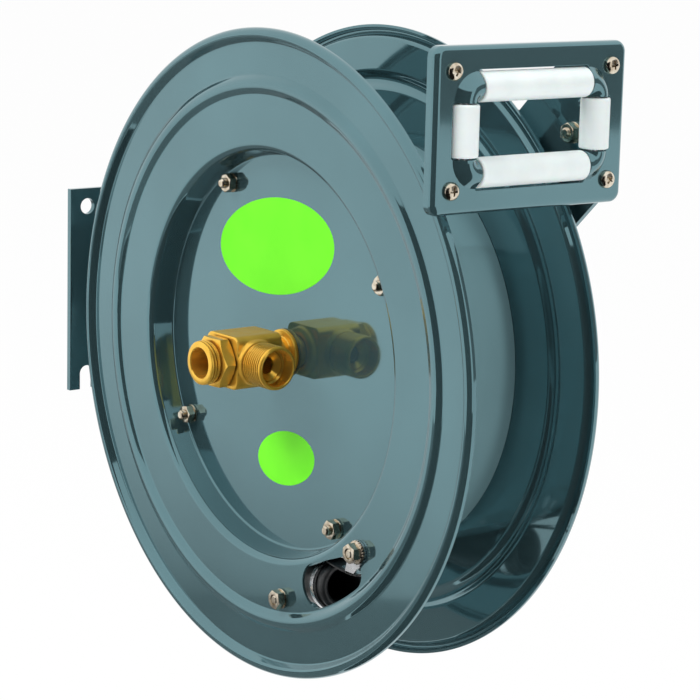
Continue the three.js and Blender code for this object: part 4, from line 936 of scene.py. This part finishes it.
def make_clip():
    """A steel clip on a wider rubber lining, its strap led to an ear under the ear bolt."""
    inner = HOSE_RADIUS + CUFF + SEAT
    lined = inner + CLIP_LINING
    half = CLIP_BAND / 2
    centre, along = hose_at(CLIP_PLACE)
    narrow, narrow_at = OPENING_ENDS[1]
    shelf_x, shelf_z = polar(OPENING_OUTER - narrow, narrow_at)
    ear_face = -ON_RING - CLIP_SHEET
    shelf_y = ear_face + half
    up = Vector((-shelf_x, 0, -shelf_z))
    up = (up - along * up.dot(along)).normalized()
    start = centre + up * (inner + CLIP_SHEET / 2)
    near = Vector((shelf_x - SHELF_HALF, shelf_y, shelf_z))
    outer = Vector((shelf_x + SHELF_HALF, shelf_y, shelf_z))
    across = up.cross(near - start).normalized()
    flat = Vector((0, 1, 0))
    level = Vector((0, 0, 1))

    def strap(wide, thickness):
        """From the hoop over the opening's edge to the ear, with this half width."""
        stations = [(start, across * wide, up), (near, flat * wide, level), (outer, flat * wide, level)]
        return strip(stations, thickness)

    lining = band(inner, lined, half, 0.3).add(strap(half, CLIP_SHEET - 0.2))
    piece("clip_lining", lining, RUBBER, "drum", ["hose_clip"])
    foot = shelf_z - CLIP_SHEET / 2
    ear = [(shelf_x - EAR_FOOT, foot), (shelf_x + EAR_FOOT, foot)]
    ear += arc(*polar(*CLIP_BOLT), EAR_RADIUS, *EAR_ARC, 32)
    steel = band(lined - 0.1, inner + CLIP_SHEET, STEEL_BAND / 2, 0.15)
    steel.add(strap(STEEL_BAND / 2, CLIP_SHEET)).add(prism(ear, ear_face, ear_face + CLIP_SHEET))
    piece("clip_band", steel, STEEL, "drum", ["hose_clip"])


# ---- Swivel and stem ----


def make_stem():
    """A turned tube with a seal groove and a grooved collar on the plate."""
    groove, groove_low, groove_high = SEAL_GROOVE
    wide, waist, foot = COLLAR_RADIUS, COLLAR_RADIUS - 0.4, -ON_PLATE
    outline = [(STEM_BORE, STEM_ROOT), (STEM_BORE, STEM_END), (STEM_RADIUS - 0.6, STEM_END)]
    outline += [(STEM_RADIUS, STEM_END + 0.6), (STEM_RADIUS, groove_low), (groove, groove_low)]
    outline += [(groove, groove_high), (STEM_RADIUS, groove_high), (STEM_RADIUS, foot - 3.9)]
    outline += [(STEM_RADIUS + 0.6, foot - 3.2), (wide - 1.2, foot - 3.2), (waist, foot - 2.9)]
    outline += [(wide, foot - 2.2), (wide, foot - 1.5), (waist, foot - 1.3), (waist, foot - 0.9)]
    outline += [(wide, foot - 0.7), (wide, foot), (STEM_RADIUS, foot), (STEM_RADIUS, STEM_ROOT)]
    piece("stem", lathe(outline, 128), TURNED, "drum", ["inlet_stem"])


def port_shape(start, end, threads_from, mouth=PORT_BORE):
    """A threaded male port along Y: undercut neck, helical threads, chamfered end and bore."""
    way = 1 if end > start else -1
    top = end - way * 0.9
    skin = thread(PORT_RADIUS, PIPE_PITCH, THREAD_DEPTH, threads_from, top, PORT_SEGMENTS, 20)
    first = skin.points[:PORT_SEGMENTS]

    def rings(profile):
        return [level_ring(first, radius, y) for radius, y in profile]

    neck = [(PORT_BORE, start), (PORT_NECK, start), (PORT_NECK, threads_from - way * 0.6)]
    shape = grid([*rings(neck), first]).add(skin)
    front = [(PORT_RADIUS - 1.5, end), (mouth + 0.6, end), (mouth, end - way * 0.6)]
    if mouth > PORT_BORE:
        front += [(mouth, end - way * SEAT_DEPTH), (PORT_BORE, end - way * (SEAT_DEPTH + 1.5))]
    front.append((PORT_BORE, start))
    return shape.add(grid([skin.points[-PORT_SEGMENTS:], *rings(front)]))


def sideways(shape):
    """Turns a shape made along Y to the side port's axis."""
    return shape.turned(-90, "Z").at(0, -PORT_PLACE, 0)


def make_swivel_block():
    """The forged block, its edges and blends softened as a forging's are."""
    block = solid("forged_block", prism(round_box(BODY_HALF, BODY_HALF, 6), -BODY_NEAR, -BODY_FAR))
    nose = [(0, -60), (20, -60), (19.6, -54), (18, NOSE_TOP - 2), (16, NOSE_TOP), (0, NOSE_TOP)]
    combine(block, lathe(nose), "UNION")
    root = [(0, 0), (ROOT_RADIUS, 0), (ROOT_RADIUS, ROOT_END - 2.5), (ROOT_RADIUS - 0.8, ROOT_END)]
    combine(block, sideways(lathe([*root, (0, ROOT_END)])), "UNION")
    remesh = block.modifiers.new("voxels", "REMESH")
    remesh.mode = "VOXEL"
    remesh.voxel_size = FORGING_VOXEL * MM
    soften = block.modifiers.new("soften", "SMOOTH")
    soften.factor = 0.6
    soften.iterations = 9
    bake(block)
    combine(block, rod(PORT_BORE, -BODY_NEAR - PAST, NOSE_TOP - 8))
    combine(block, rod(STEM_RADIUS + 0.4, STEM_END - 1, NOSE_TOP + PAST))
    combine(block, sideways(rod(PORT_BORE, 5, ROOT_END + PAST)))
    finished(block, FORGED, "swivel", ["swivel_body"], sharp=50)


def make_side_port():
    port = port_shape(BODY_HALF - 2, PORT_REACH, BODY_HALF + 5.2, PORT_MOUTH)
    piece("side_port", sideways(port), TURNED, "swivel", ["swivel_body"], sharp=50)
    front = PORT_REACH - SEAT_DEPTH - 0.6
    rear = PORT_REACH - SEAT_DEPTH - 6
    wall = PORT_BORE - 0.15
    outline = [(SEAT_BORE, rear), (SEAT_BORE, front - 3.2), (SEAT_BORE + 0.6, front - 2.6)]
    outline += [(wall - 0.8, front), (wall, front), (wall, rear)]
    piece("side_port_seat", sideways(lathe(outline)), TURNED, "swivel", ["swivel_body"])


def make_nipple():
    across, height = NIPPLE_HEX
    face = -BODY_NEAR - SEAT
    nipple = port_shape(face - height, -NIPPLE_END, face - height - 2.1)
    nipple.add(hex_head(across, face - height, face, PORT_BORE, PORT_SEGMENTS, 0.5))
    spigot = [(PORT_BORE, face - 0.2), (PORT_NECK + 0.2, face - 0.2)]
    spigot += [(PORT_NECK + 0.2, 4 - BODY_NEAR), (PORT_BORE, 4 - BODY_NEAR)]
    nipple.add(lathe(spigot))
    piece("nipple", nipple, TURNED, "swivel", ["inlet_nipple"], sharp=40)


# ---- Bracket, arm and axle ----


def make_bracket():
    """A bent sheet: the wall flange and, narrowing from it, the round-ended side plate."""
    back = -AXLE_TO_WALL + BRACKET_SHEET / 2
    side = BRACKET_INSIDE + BRACKET_SHEET / 2
    line = rounded([(back, -FLANGE_HALF), (back, side, 8), (BRACKET_END, side)], 12)
    bracket = solid("bracket", prism(sheet_outline(line, BRACKET_SHEET), FLANGE_BOTTOM, FLANGE_TOP, "Z"))
    behind, shoulder = -AXLE_TO_WALL - 5, -AXLE_TO_WALL + SHOULDER
    below, above = FLANGE_BOTTOM - 5, FLANGE_TOP + 5
    outline = [(behind, below), (shoulder, below), (shoulder, FLANGE_BOTTOM + 1)]
    outline += arc(0, 0, BRACKET_END, -80, 80, 48)
    outline += [(shoulder, FLANGE_TOP - 1), (shoulder, above), (behind, above)]
    combine(bracket, prism(outline, -FLANGE_HALF - PAST, BRACKET_OUTSIDE + PAST), "INTERSECT")
    for y in (-WALL_HOLE_SIDE, WALL_HOLE_SIDE):
        slot = [(y - WALL_HOLE, below), (y + WALL_HOLE, below)]
        slot += arc(y, WALL_SLOT_UP, WALL_HOLE, 0, 180, 24)
        hole = arc(y, WALL_HOLE_UP, WALL_HOLE, 0, 360, 48)[:-1]
        for cut in (slot, hole):
            combine(bracket, prism(cut, behind, behind + 5 + PAST, "X"))
    drill(bracket, [(0, 0)], AXLE_HOLE, BRACKET_INSIDE - PAST, BRACKET_OUTSIDE + PAST)
    bevel(bracket, 0.7)
    finished(bracket, PAINT, "frame", ["wall_bracket"])


def make_arm():
    """A flat bar with a round foot at the hub, rising to a straight-cut end at the guide."""
    along_x, along_z = polar(1, ARM_RISE)
    front, top = GUIDE_FORWARD - 10, GUIDE_UP + ARM_ABOVE
    outline = arc(0, 0, ARM_HALF, ARM_RISE + 90, ARM_RISE + 270, 48)
    outline.append((front, front * along_z / along_x - ARM_HALF / along_x))
    outline.append((front, top))
    outline.append(((top - ARM_HALF / along_x) * along_x / along_z, top))
    arm = solid("arm", prism(outline, ARM_INSIDE, ARM_INSIDE + ARM_SHEET))
    low, high = ARM_INSIDE - PAST, ARM_INSIDE + ARM_SHEET + PAST
    drill(arm, [*ARM_BOLTS, ARM_SPARE], ARM_BOLT_HOLE, low, high)
    drill(arm, [(0, 0)], AXLE_HOLE, low, high)
    bevel(arm, 0.6)
    finished(arm, PAINT, "frame", ["guide_arm"])


def make_axle():
    """The axle with its clip groove and its flange, and the bolts that hold the flange."""
    wide, thick = AXLE_FLANGE
    outer = ARM_INSIDE - SEAT
    inner = outer - thick
    end = BRACKET_OUTSIDE + 2
    outline = [(0, 0.6), (10.7, 0.6), (11.5, 1.4), (11.5, 2.1), (10.7, 2.1), (10.7, 3.6)]
    outline += [(AXLE_RADIUS, 3.6), (AXLE_RADIUS, inner), (wide - 0.6, inner), (wide, inner + 0.6)]
    outline += [(wide, outer - 0.6), (wide - 0.6, outer), (AXLE_RADIUS, outer)]
    outline += [(AXLE_RADIUS, end - 0.8), (AXLE_RADIUS - 0.8, end), (0, end)]
    piece("shaft", lathe(outline, 128), STEEL, "frame", ["axle"])
    head_at = inner - SEAT
    for i, angle in enumerate(HUB_BOLT_ANGLES, 1):
        x, z = polar(HUB_BOLT_CIRCLE, angle)
        bolt = hex_cap().add(threaded_rod(-CAP_FACE, BRACKET_OUTSIDE - NUT_TOP + HUB_PAST_NUT - head_at))
        piece(f"hub_cap_{i}", bolt.at(x, head_at, z), ZINC, "frame", [f"hub_bolt_{i}"])
        back_nut(f"hub_nut_back_{i}", 23 * i, x, z, f"hub_nut_{i}")


# ---- Hub, ratchet and the pawl's pin ----


def make_hub():
    wide, thick = HUB_FLANGE
    step, end = ON_PLATE + thick, ON_PLATE + HUB_LENGTH
    outline = [(HUB_BORE, ON_PLATE), (wide, ON_PLATE), (wide, step - 0.8), (wide - 0.8, step)]
    outline += [(HUB_RADIUS + 1.7, step), (HUB_RADIUS, step + 1.7), (HUB_RADIUS, end - 0.6)]
    outline += [(HUB_RADIUS - 0.6, end), (HUB_BORE, end)]
    piece("hub", lathe(outline, 128), OXIDE, "drum", ["hub_sleeve"])
    collar = end + SEAT
    low = collar - HUB_LENGTH
    bush = [(12.9, low), (15.7, low), (15.7, collar), (19, collar)]
    bush += [(19, collar + 2), (13.2, collar + 2), (12.9, collar + 1.7)]
    piece("bush_outer", lathe(bush, 128), BRONZE, "drum", ["bush_far"])


RATCHET_PLANE = ON_PLATE + HUB_FLANGE[1] + SEAT


def make_ratchet():
    low, high = RATCHET_PLANE, RATCHET_PLANE + RATCHET_SHEET
    teeth = []
    for tooth in range(TOOTH_COUNT):
        face = FIRST_TOOTH + 360 * tooth / TOOTH_COUNT
        teeth += [polar(radius, face - before) for radius, before in TOOTH]
    wheel = solid("toothed_wheel", prism(teeth, low, high))
    drill(wheel, [(0, 0)], HUB_RADIUS + SEAT, low - PAST, high + PAST)
    bevel(wheel, 0.4, 25)
    finished(wheel, OXIDE, "drum", ["ratchet_wheel"], sharp=25)


def make_pivot():
    """The pawl's shouldered pin, from a head inside the ratchet's plane out through the bracket."""
    x, z = polar(*PAWL_PIVOT)
    head, neck, edge = PIVOT_HEAD, BOLT_RADIUS, PIVOT_HEAD - 0.4
    low, high = RATCHET_PLANE - SEAT, RATCHET_PLANE + RATCHET_SHEET + SEAT
    shoulder = BRACKET_INSIDE - SEAT
    end = BRACKET_OUTSIDE + 10.1
    pin = [(0, low - 2.2), (head - 0.6, low - 2.2), (head, low - 1.6), (head, low), (neck, low)]
    pin += [(neck, high), (edge, high), (head, high + 0.4), (head, shoulder - 0.4), (edge, shoulder)]
    pin += [(neck, shoulder), (neck, end - 0.6), (neck - 0.7, end), (0, end)]
    piece("pivot_pin", lathe(pin, 64).at(x, 0, z), STEEL, "frame", ["pawl_pin"])
    back_nut("pivot_nut", 9, x, z, "pawl_nut")


# ---- Hose guide ----


def make_arm_bolts():
    outer = BRACKET_INSIDE
    inner = ARM_INSIDE - 2 * SEAT - GUIDE_FLANGE_SHEET
    for i, (x, z) in enumerate(ARM_BOLTS, 1):
        bolt = flipped(hex_cap()).at(0, outer, 0).add(threaded_rod(outer, inner + NUT_TOP - ARM_PAST_NUT))
        piece(f"side_bolt_{i}", bolt.at(x, 0, z), ZINC, "frame", [f"arm_bolt_{i}"])
        near = nut().turned(31 * i, "Y").at(x, inner, z)
        piece(f"side_nut_{i}", near, ZINC, "frame", [f"arm_nut_{i}"])


def tray(inset, back, front):
    """A rounded block along X with a bent-over front edge, drawn in all round by the inset."""
    edge = GUIDE_EDGE - inset
    levels = [(back, inset)]
    for step in range(13):
        out, up = polar(edge, step / 12 * 90)
        levels.append((front - edge + up, inset + edge - out))
    rows = []
    for x, drawn_in in levels:
        width, height = [half - drawn_in for half in GUIDE_HALF]
        outline = round_box(width, height, GUIDE_CORNER - drawn_in, 12)
        rows.append([(x, y, z) for y, z in outline])
    return capped(grid(rows), len(rows[0]))


def elbow(way, side_y, side_z):
    """A quarter of a pressed ring over the pins' ends, its feet flowing out into the plate."""
    stations, around = 17, 33
    centre_y, centre_z = WINDOW_LONG[0], WINDOW_SHORT[1]
    bend = LONG_OFFSET - centre_z
    rows = []
    for step in range(stations):
        turn = step / (stations - 1) * 90
        row = []
        for k in range(around):
            share = 2 * k / (around - 1) - 1
            up = ELBOW_RISE * (0.5 + 0.5 * cos(pi * share)) ** ELBOW_FULLNESS
            y, z = polar(max(bend + ELBOW_SPREAD * share, 0), turn)
            row.append((way * (MIDDLE_GAP + up), side_y * (centre_y + y), side_z * (centre_z + z)))
        rows.append(row)
    return capped(grid(rows), around)


def guide_solid(name, shape):
    return solid(name, shape.at(GUIDE_FORWARD, 0, GUIDE_UP))


def guide_cut(made, shape, operation="DIFFERENCE"):
    combine(made, shape.at(GUIDE_FORWARD, 0, GUIDE_UP), operation)


def cut_window(made):
    for half_width, half_height in (WINDOW_LONG, WINDOW_SHORT):
        outline = round_box(half_width, half_height, WINDOW_CORNER, 4)
        guide_cut(made, prism(outline, -2 * PAST, 2 * PAST, "X"))


def raise_elbows(made, way):
    """Adds the elbows on one face, and grooves for the pins."""
    for side_y, side_z in CORNERS:
        guide_cut(made, elbow(way, side_y, side_z), "UNION")
    for _, y, z, turn, length in ROLLERS:
        reach = length / 2 + PIN_PAST_ROLLER + SEAT
        guide_cut(made, rod(PIN_RADIUS + SEAT, -reach, reach, 32).turned(turn, "X").at(0, y, z))


def make_guide_front():
    front = guide_solid("guide_tray", tray(0, FRONT - 10, FRONT))
    guide_cut(front, tray(GUIDE_SHEET, FRONT - 15, MIDDLE_GAP))
    cut_window(front)
    bevel(front, 0.35, 50)
    raise_elbows(front, 1)
    hole = rod(SCREW_HOLE, -PAST, PAST, 32).turned(-90, "Z")
    for side_y, side_z in CORNERS:
        guide_cut(front, hole.at(0, side_y * SCREW_SIDE, side_z * SCREW_UP))
    finished(front, PAINT, "frame", ["guide_front_plate"], sharp=40)


def make_guide_back():
    """The rear plate inside the tray's edge, with the side flange that the arm holds."""
    width, height = [half - GUIDE_EDGE - SEAT for half in GUIDE_HALF]
    outline = round_box(width, height, GUIDE_CORNER - GUIDE_EDGE - SEAT, 8)
    back = guide_solid("guide_back", prism(outline, -FRONT, -MIDDLE_GAP, "X"))
    cut_window(back)
    top = height - 12
    middle = -(MIDDLE_GAP + GUIDE_SHEET / 2)
    side = [(-76, -52), (-46, -top), (middle, -top), (middle, top), (-52, top), (-52, 0), (-92, -38)]
    outer = ARM_INSIDE - SEAT
    guide_cut(back, prism(side, outer - GUIDE_FLANGE_SHEET, outer), "UNION")
    drill(back, [*ARM_BOLTS, ARM_SPARE], ARM_BOLT_HOLE, outer - PAST, outer + PAST)
    bevel(back, 0.3, 50)
    raise_elbows(back, -1)
    finished(back, PAINT, "frame", ["guide_back_plate"], sharp=40)


def make_rollers():
    for name, y, z, turn, length in ROLLERS:
        half = length / 2
        corners = [(PIN_RADIUS + 0.4, -half + 0.5), (PIN_RADIUS + 0.9, -half), (ROLLER_RADIUS, -half, 1.6)]
        corners += [(ROLLER_RADIUS, half, 1.6), (PIN_RADIUS + 0.9, half), (PIN_RADIUS + 0.4, half - 0.5)]
        place = (GUIDE_FORWARD, y, GUIDE_UP + z)
        roller = lathe(rounded(corners)).turned(turn, "X").at(*place)
        piece(f"roller_{name}_sleeve", roller, NYLON, f"roller_{name}", [f"roller_{name}"])
        reach = half + PIN_PAST_ROLLER
        tip = PIN_RADIUS - 0.4
        ends = [(0, -reach), (tip, -reach), (PIN_RADIUS, -reach + 0.4)]
        ends += [(PIN_RADIUS, reach - 0.4), (tip, reach), (0, reach)]
        pin = lathe(ends, 48).turned(turn, "X").at(*place)
        piece(f"pin_{name}_rod", pin, STEEL, "frame", [f"pin_{name}"])


def make_screws():
    head = pan_head()
    for i, (side_y, side_z) in enumerate(SCREW_ORDER, 1):
        screw = head.turned(40 * i, "Y").add(threaded_rod(SEAT, -SCREW_LENGTH, SCREW_SHANK, SCREW_PITCH))
        place = (GUIDE_FORWARD + FRONT + SEAT, side_y * SCREW_SIDE, GUIDE_UP + side_z * SCREW_UP)
        screw = screw.turned(-90, "Z").at(*place)
        piece(f"tray_screw_{i}", screw, ZINC, "frame", [f"guide_screw_{i}"])


# ---- Carried-over CAD pieces ----

CARRIED = {
    "spring_case": STEEL,
    "spring_cover": STEEL,
    "power_spring": OXIDE,
    "bush_near": BRONZE,
    "stem_seal": RUBBER,
    "feed_elbow": FORGED,
    "axle_clip": OXIDE,
    "pawl": OXIDE,
}


def dress_carried():
    for name, material in CARRIED.items():
        node = bpy.data.objects[name]
        node.data.materials.clear()
        node.data.materials.append(material)


# ---- Studio ----


def make_camera():
    azimuth, elevation, roll = [radians(a) for a in (CAMERA_AZIMUTH, CAMERA_ELEVATION, CAMERA_ROLL)]
    back = Vector((sin(azimuth) * cos(elevation), -cos(azimuth) * cos(elevation), sin(elevation)))
    right = Vector((cos(azimuth), sin(azimuth), 0))
    up = back.cross(right)
    across = cos(roll) * right + sin(roll) * up
    above = cos(roll) * up - sin(roll) * right
    data = bpy.data.cameras.new("camera")
    data.lens = CAMERA_LENS
    data.sensor_width = 36
    data.clip_end = 100
    camera = bpy.data.objects.new("camera", data)
    matrix = Matrix((across, above, back)).transposed().to_4x4()
    matrix.translation = CAMERA_PLACE
    camera.matrix_world = matrix
    bpy.context.scene.collection.objects.link(camera)
    bpy.context.scene.camera = camera


def pale_for_sight(tree, plain, pale, share=1.0):
    """Shows the pale shader to camera, glossy and transmission rays, and the plain one to others."""
    rays = tree.nodes.new("ShaderNodeLightPath")
    sight = rays.outputs["Is Camera Ray"]
    for ray in ("Is Glossy Ray", "Is Transmission Ray"):
        most = tree.nodes.new("ShaderNodeMath")
        most.operation = "MAXIMUM"
        tree.links.new(sight, most.inputs[0])
        tree.links.new(rays.outputs[ray], most.inputs[1])
        sight = most.outputs[0]
    part = tree.nodes.new("ShaderNodeMath")
    part.operation = "MULTIPLY"
    part.inputs[1].default_value = share
    tree.links.new(sight, part.inputs[0])
    mix = tree.nodes.new("ShaderNodeMixShader")
    tree.links.new(part.outputs[0], mix.inputs[0])
    tree.links.new(plain, mix.inputs[1])
    tree.links.new(pale, mix.inputs[2])
    return mix.outputs[0]


def make_world():
    world = bpy.data.worlds.new("studio")
    world.use_nodes = True
    tree = world.node_tree
    plain = tree.nodes["Background"]
    white = tree.nodes.new("ShaderNodeBackground")
    for light, strength in ((plain, ROOM_LIGHT), (white, 1)):
        light.inputs["Color"].default_value = (1, 1, 1, 1)
        light.inputs["Strength"].default_value = strength
    seen = pale_for_sight(tree, plain.outputs[0], white.outputs[0])
    tree.links.new(seen, tree.nodes["World Output"].inputs["Surface"])
    bpy.context.scene.world = world


def flat_card(name, width, height):
    """A level rectangle, its material's nodes, an emission among them, and the surface socket."""
    w, h = width / 2, height / 2
    data = bpy.data.meshes.new(name)
    data.from_pydata([(-w, -h, 0), (w, -h, 0), (w, h, 0), (-w, h, 0)], [], [(0, 1, 2, 3)])
    material = bpy.data.materials.new(name)
    material.use_nodes = True
    data.materials.append(material)
    card = bpy.data.objects.new(name, data)
    bpy.context.scene.collection.objects.link(card)
    tree = material.node_tree
    glow = tree.nodes.new("ShaderNodeEmission")
    return card, tree, glow, tree.nodes["Material Output"].inputs["Surface"]


def make_floor():
    floor, tree, glow, surface = flat_card("floor", FLOOR_SIZE, FLOOR_SIZE)
    floor.location.z = FLOOR_LEVEL
    shader = tree.nodes["Principled BSDF"]
    shader.inputs["Base Color"].default_value = (FLOOR_SHADE, FLOOR_SHADE, FLOOR_SHADE, 1)
    shader.inputs["Roughness"].default_value = 0.9
    tree.links.new(pale_for_sight(tree, shader.outputs[0], glow.outputs[0], FLOOR_GLOW), surface)


def facing(made, place, target, front):
    """Puts a lamp or a card in its place, its front to the target, unseen by the camera."""
    made.location = place
    made.rotation_euler = (Vector(target) - Vector(place)).to_track_quat(front, "Y").to_euler()
    made.visible_camera = False


def make_lights():
    for name, place, size, power, mirrored in LAMPS:
        data = bpy.data.lights.new(name, "AREA")
        data.shape = "RECTANGLE"
        data.size, data.size_y = size
        data.energy = power
        light = bpy.data.objects.new(name, data)
        facing(light, place, MIDDLE, "-Z")
        light.visible_glossy = mirrored
        bpy.context.scene.collection.objects.link(light)


def grade(tree, glow, size, shades):
    """Grades a card's light upwards, its levels leaning so that one lower corner is the darkest."""
    place_of = tree.nodes.new("ShaderNodeTexCoord")
    height = tree.nodes.new("ShaderNodeVectorMath")
    height.operation = "DOT_PRODUCT"
    height.inputs[1].default_value = (-CARD_LEAN * size[0] / size[1], 1, 0)
    raised = tree.nodes.new("ShaderNodeMath")
    raised.inputs[1].default_value = CARD_LEAN
    ramp = tree.nodes.new("ShaderNodeValToRGB")
    while len(ramp.color_ramp.elements) < len(shades):
        ramp.color_ramp.elements.new(0.5)
    for element, (at, shade) in zip(ramp.color_ramp.elements, shades):
        element.position = at
        element.color = (shade, shade, shade, 1)
    tree.links.new(place_of.outputs["Generated"], height.inputs[0])
    tree.links.new(height.outputs["Value"], raised.inputs[0])
    tree.links.new(raised.outputs[0], ramp.inputs["Fac"])
    tree.links.new(ramp.outputs["Color"], glow.inputs["Color"])


def make_panels():
    """Camera-invisible cards that only reflections see."""
    for name, place, target, size, shades in PANELS:
        card, tree, glow, surface = flat_card(name, *size)
        tree.nodes.remove(tree.nodes["Principled BSDF"])
        tree.links.new(glow.outputs[0], surface)
        if isinstance(shades, tuple):
            grade(tree, glow, size, shades)
        else:
            glow.inputs["Color"].default_value = (shades, shades, shades, 1)
        facing(card, place, target, "Z")
        card.visible_diffuse = False
        card.visible_shadow = False


# ---- Building ----

make_camera()
make_discs()
make_core()
make_labels()
make_tie_bolts()
make_ring_bolts()
make_hose()
make_clip()
make_stem()
make_swivel_block()
make_side_port()
make_nipple()
make_bracket()
make_arm()
make_axle()
make_hub()
make_ratchet()
make_pivot()
make_arm_bolts()
make_guide_front()
make_guide_back()
make_rollers()
make_screws()
dress_carried()
make_world()
make_floor()
make_lights()
make_panels()

bpy.context.scene.view_settings.view_transform = "Standard"
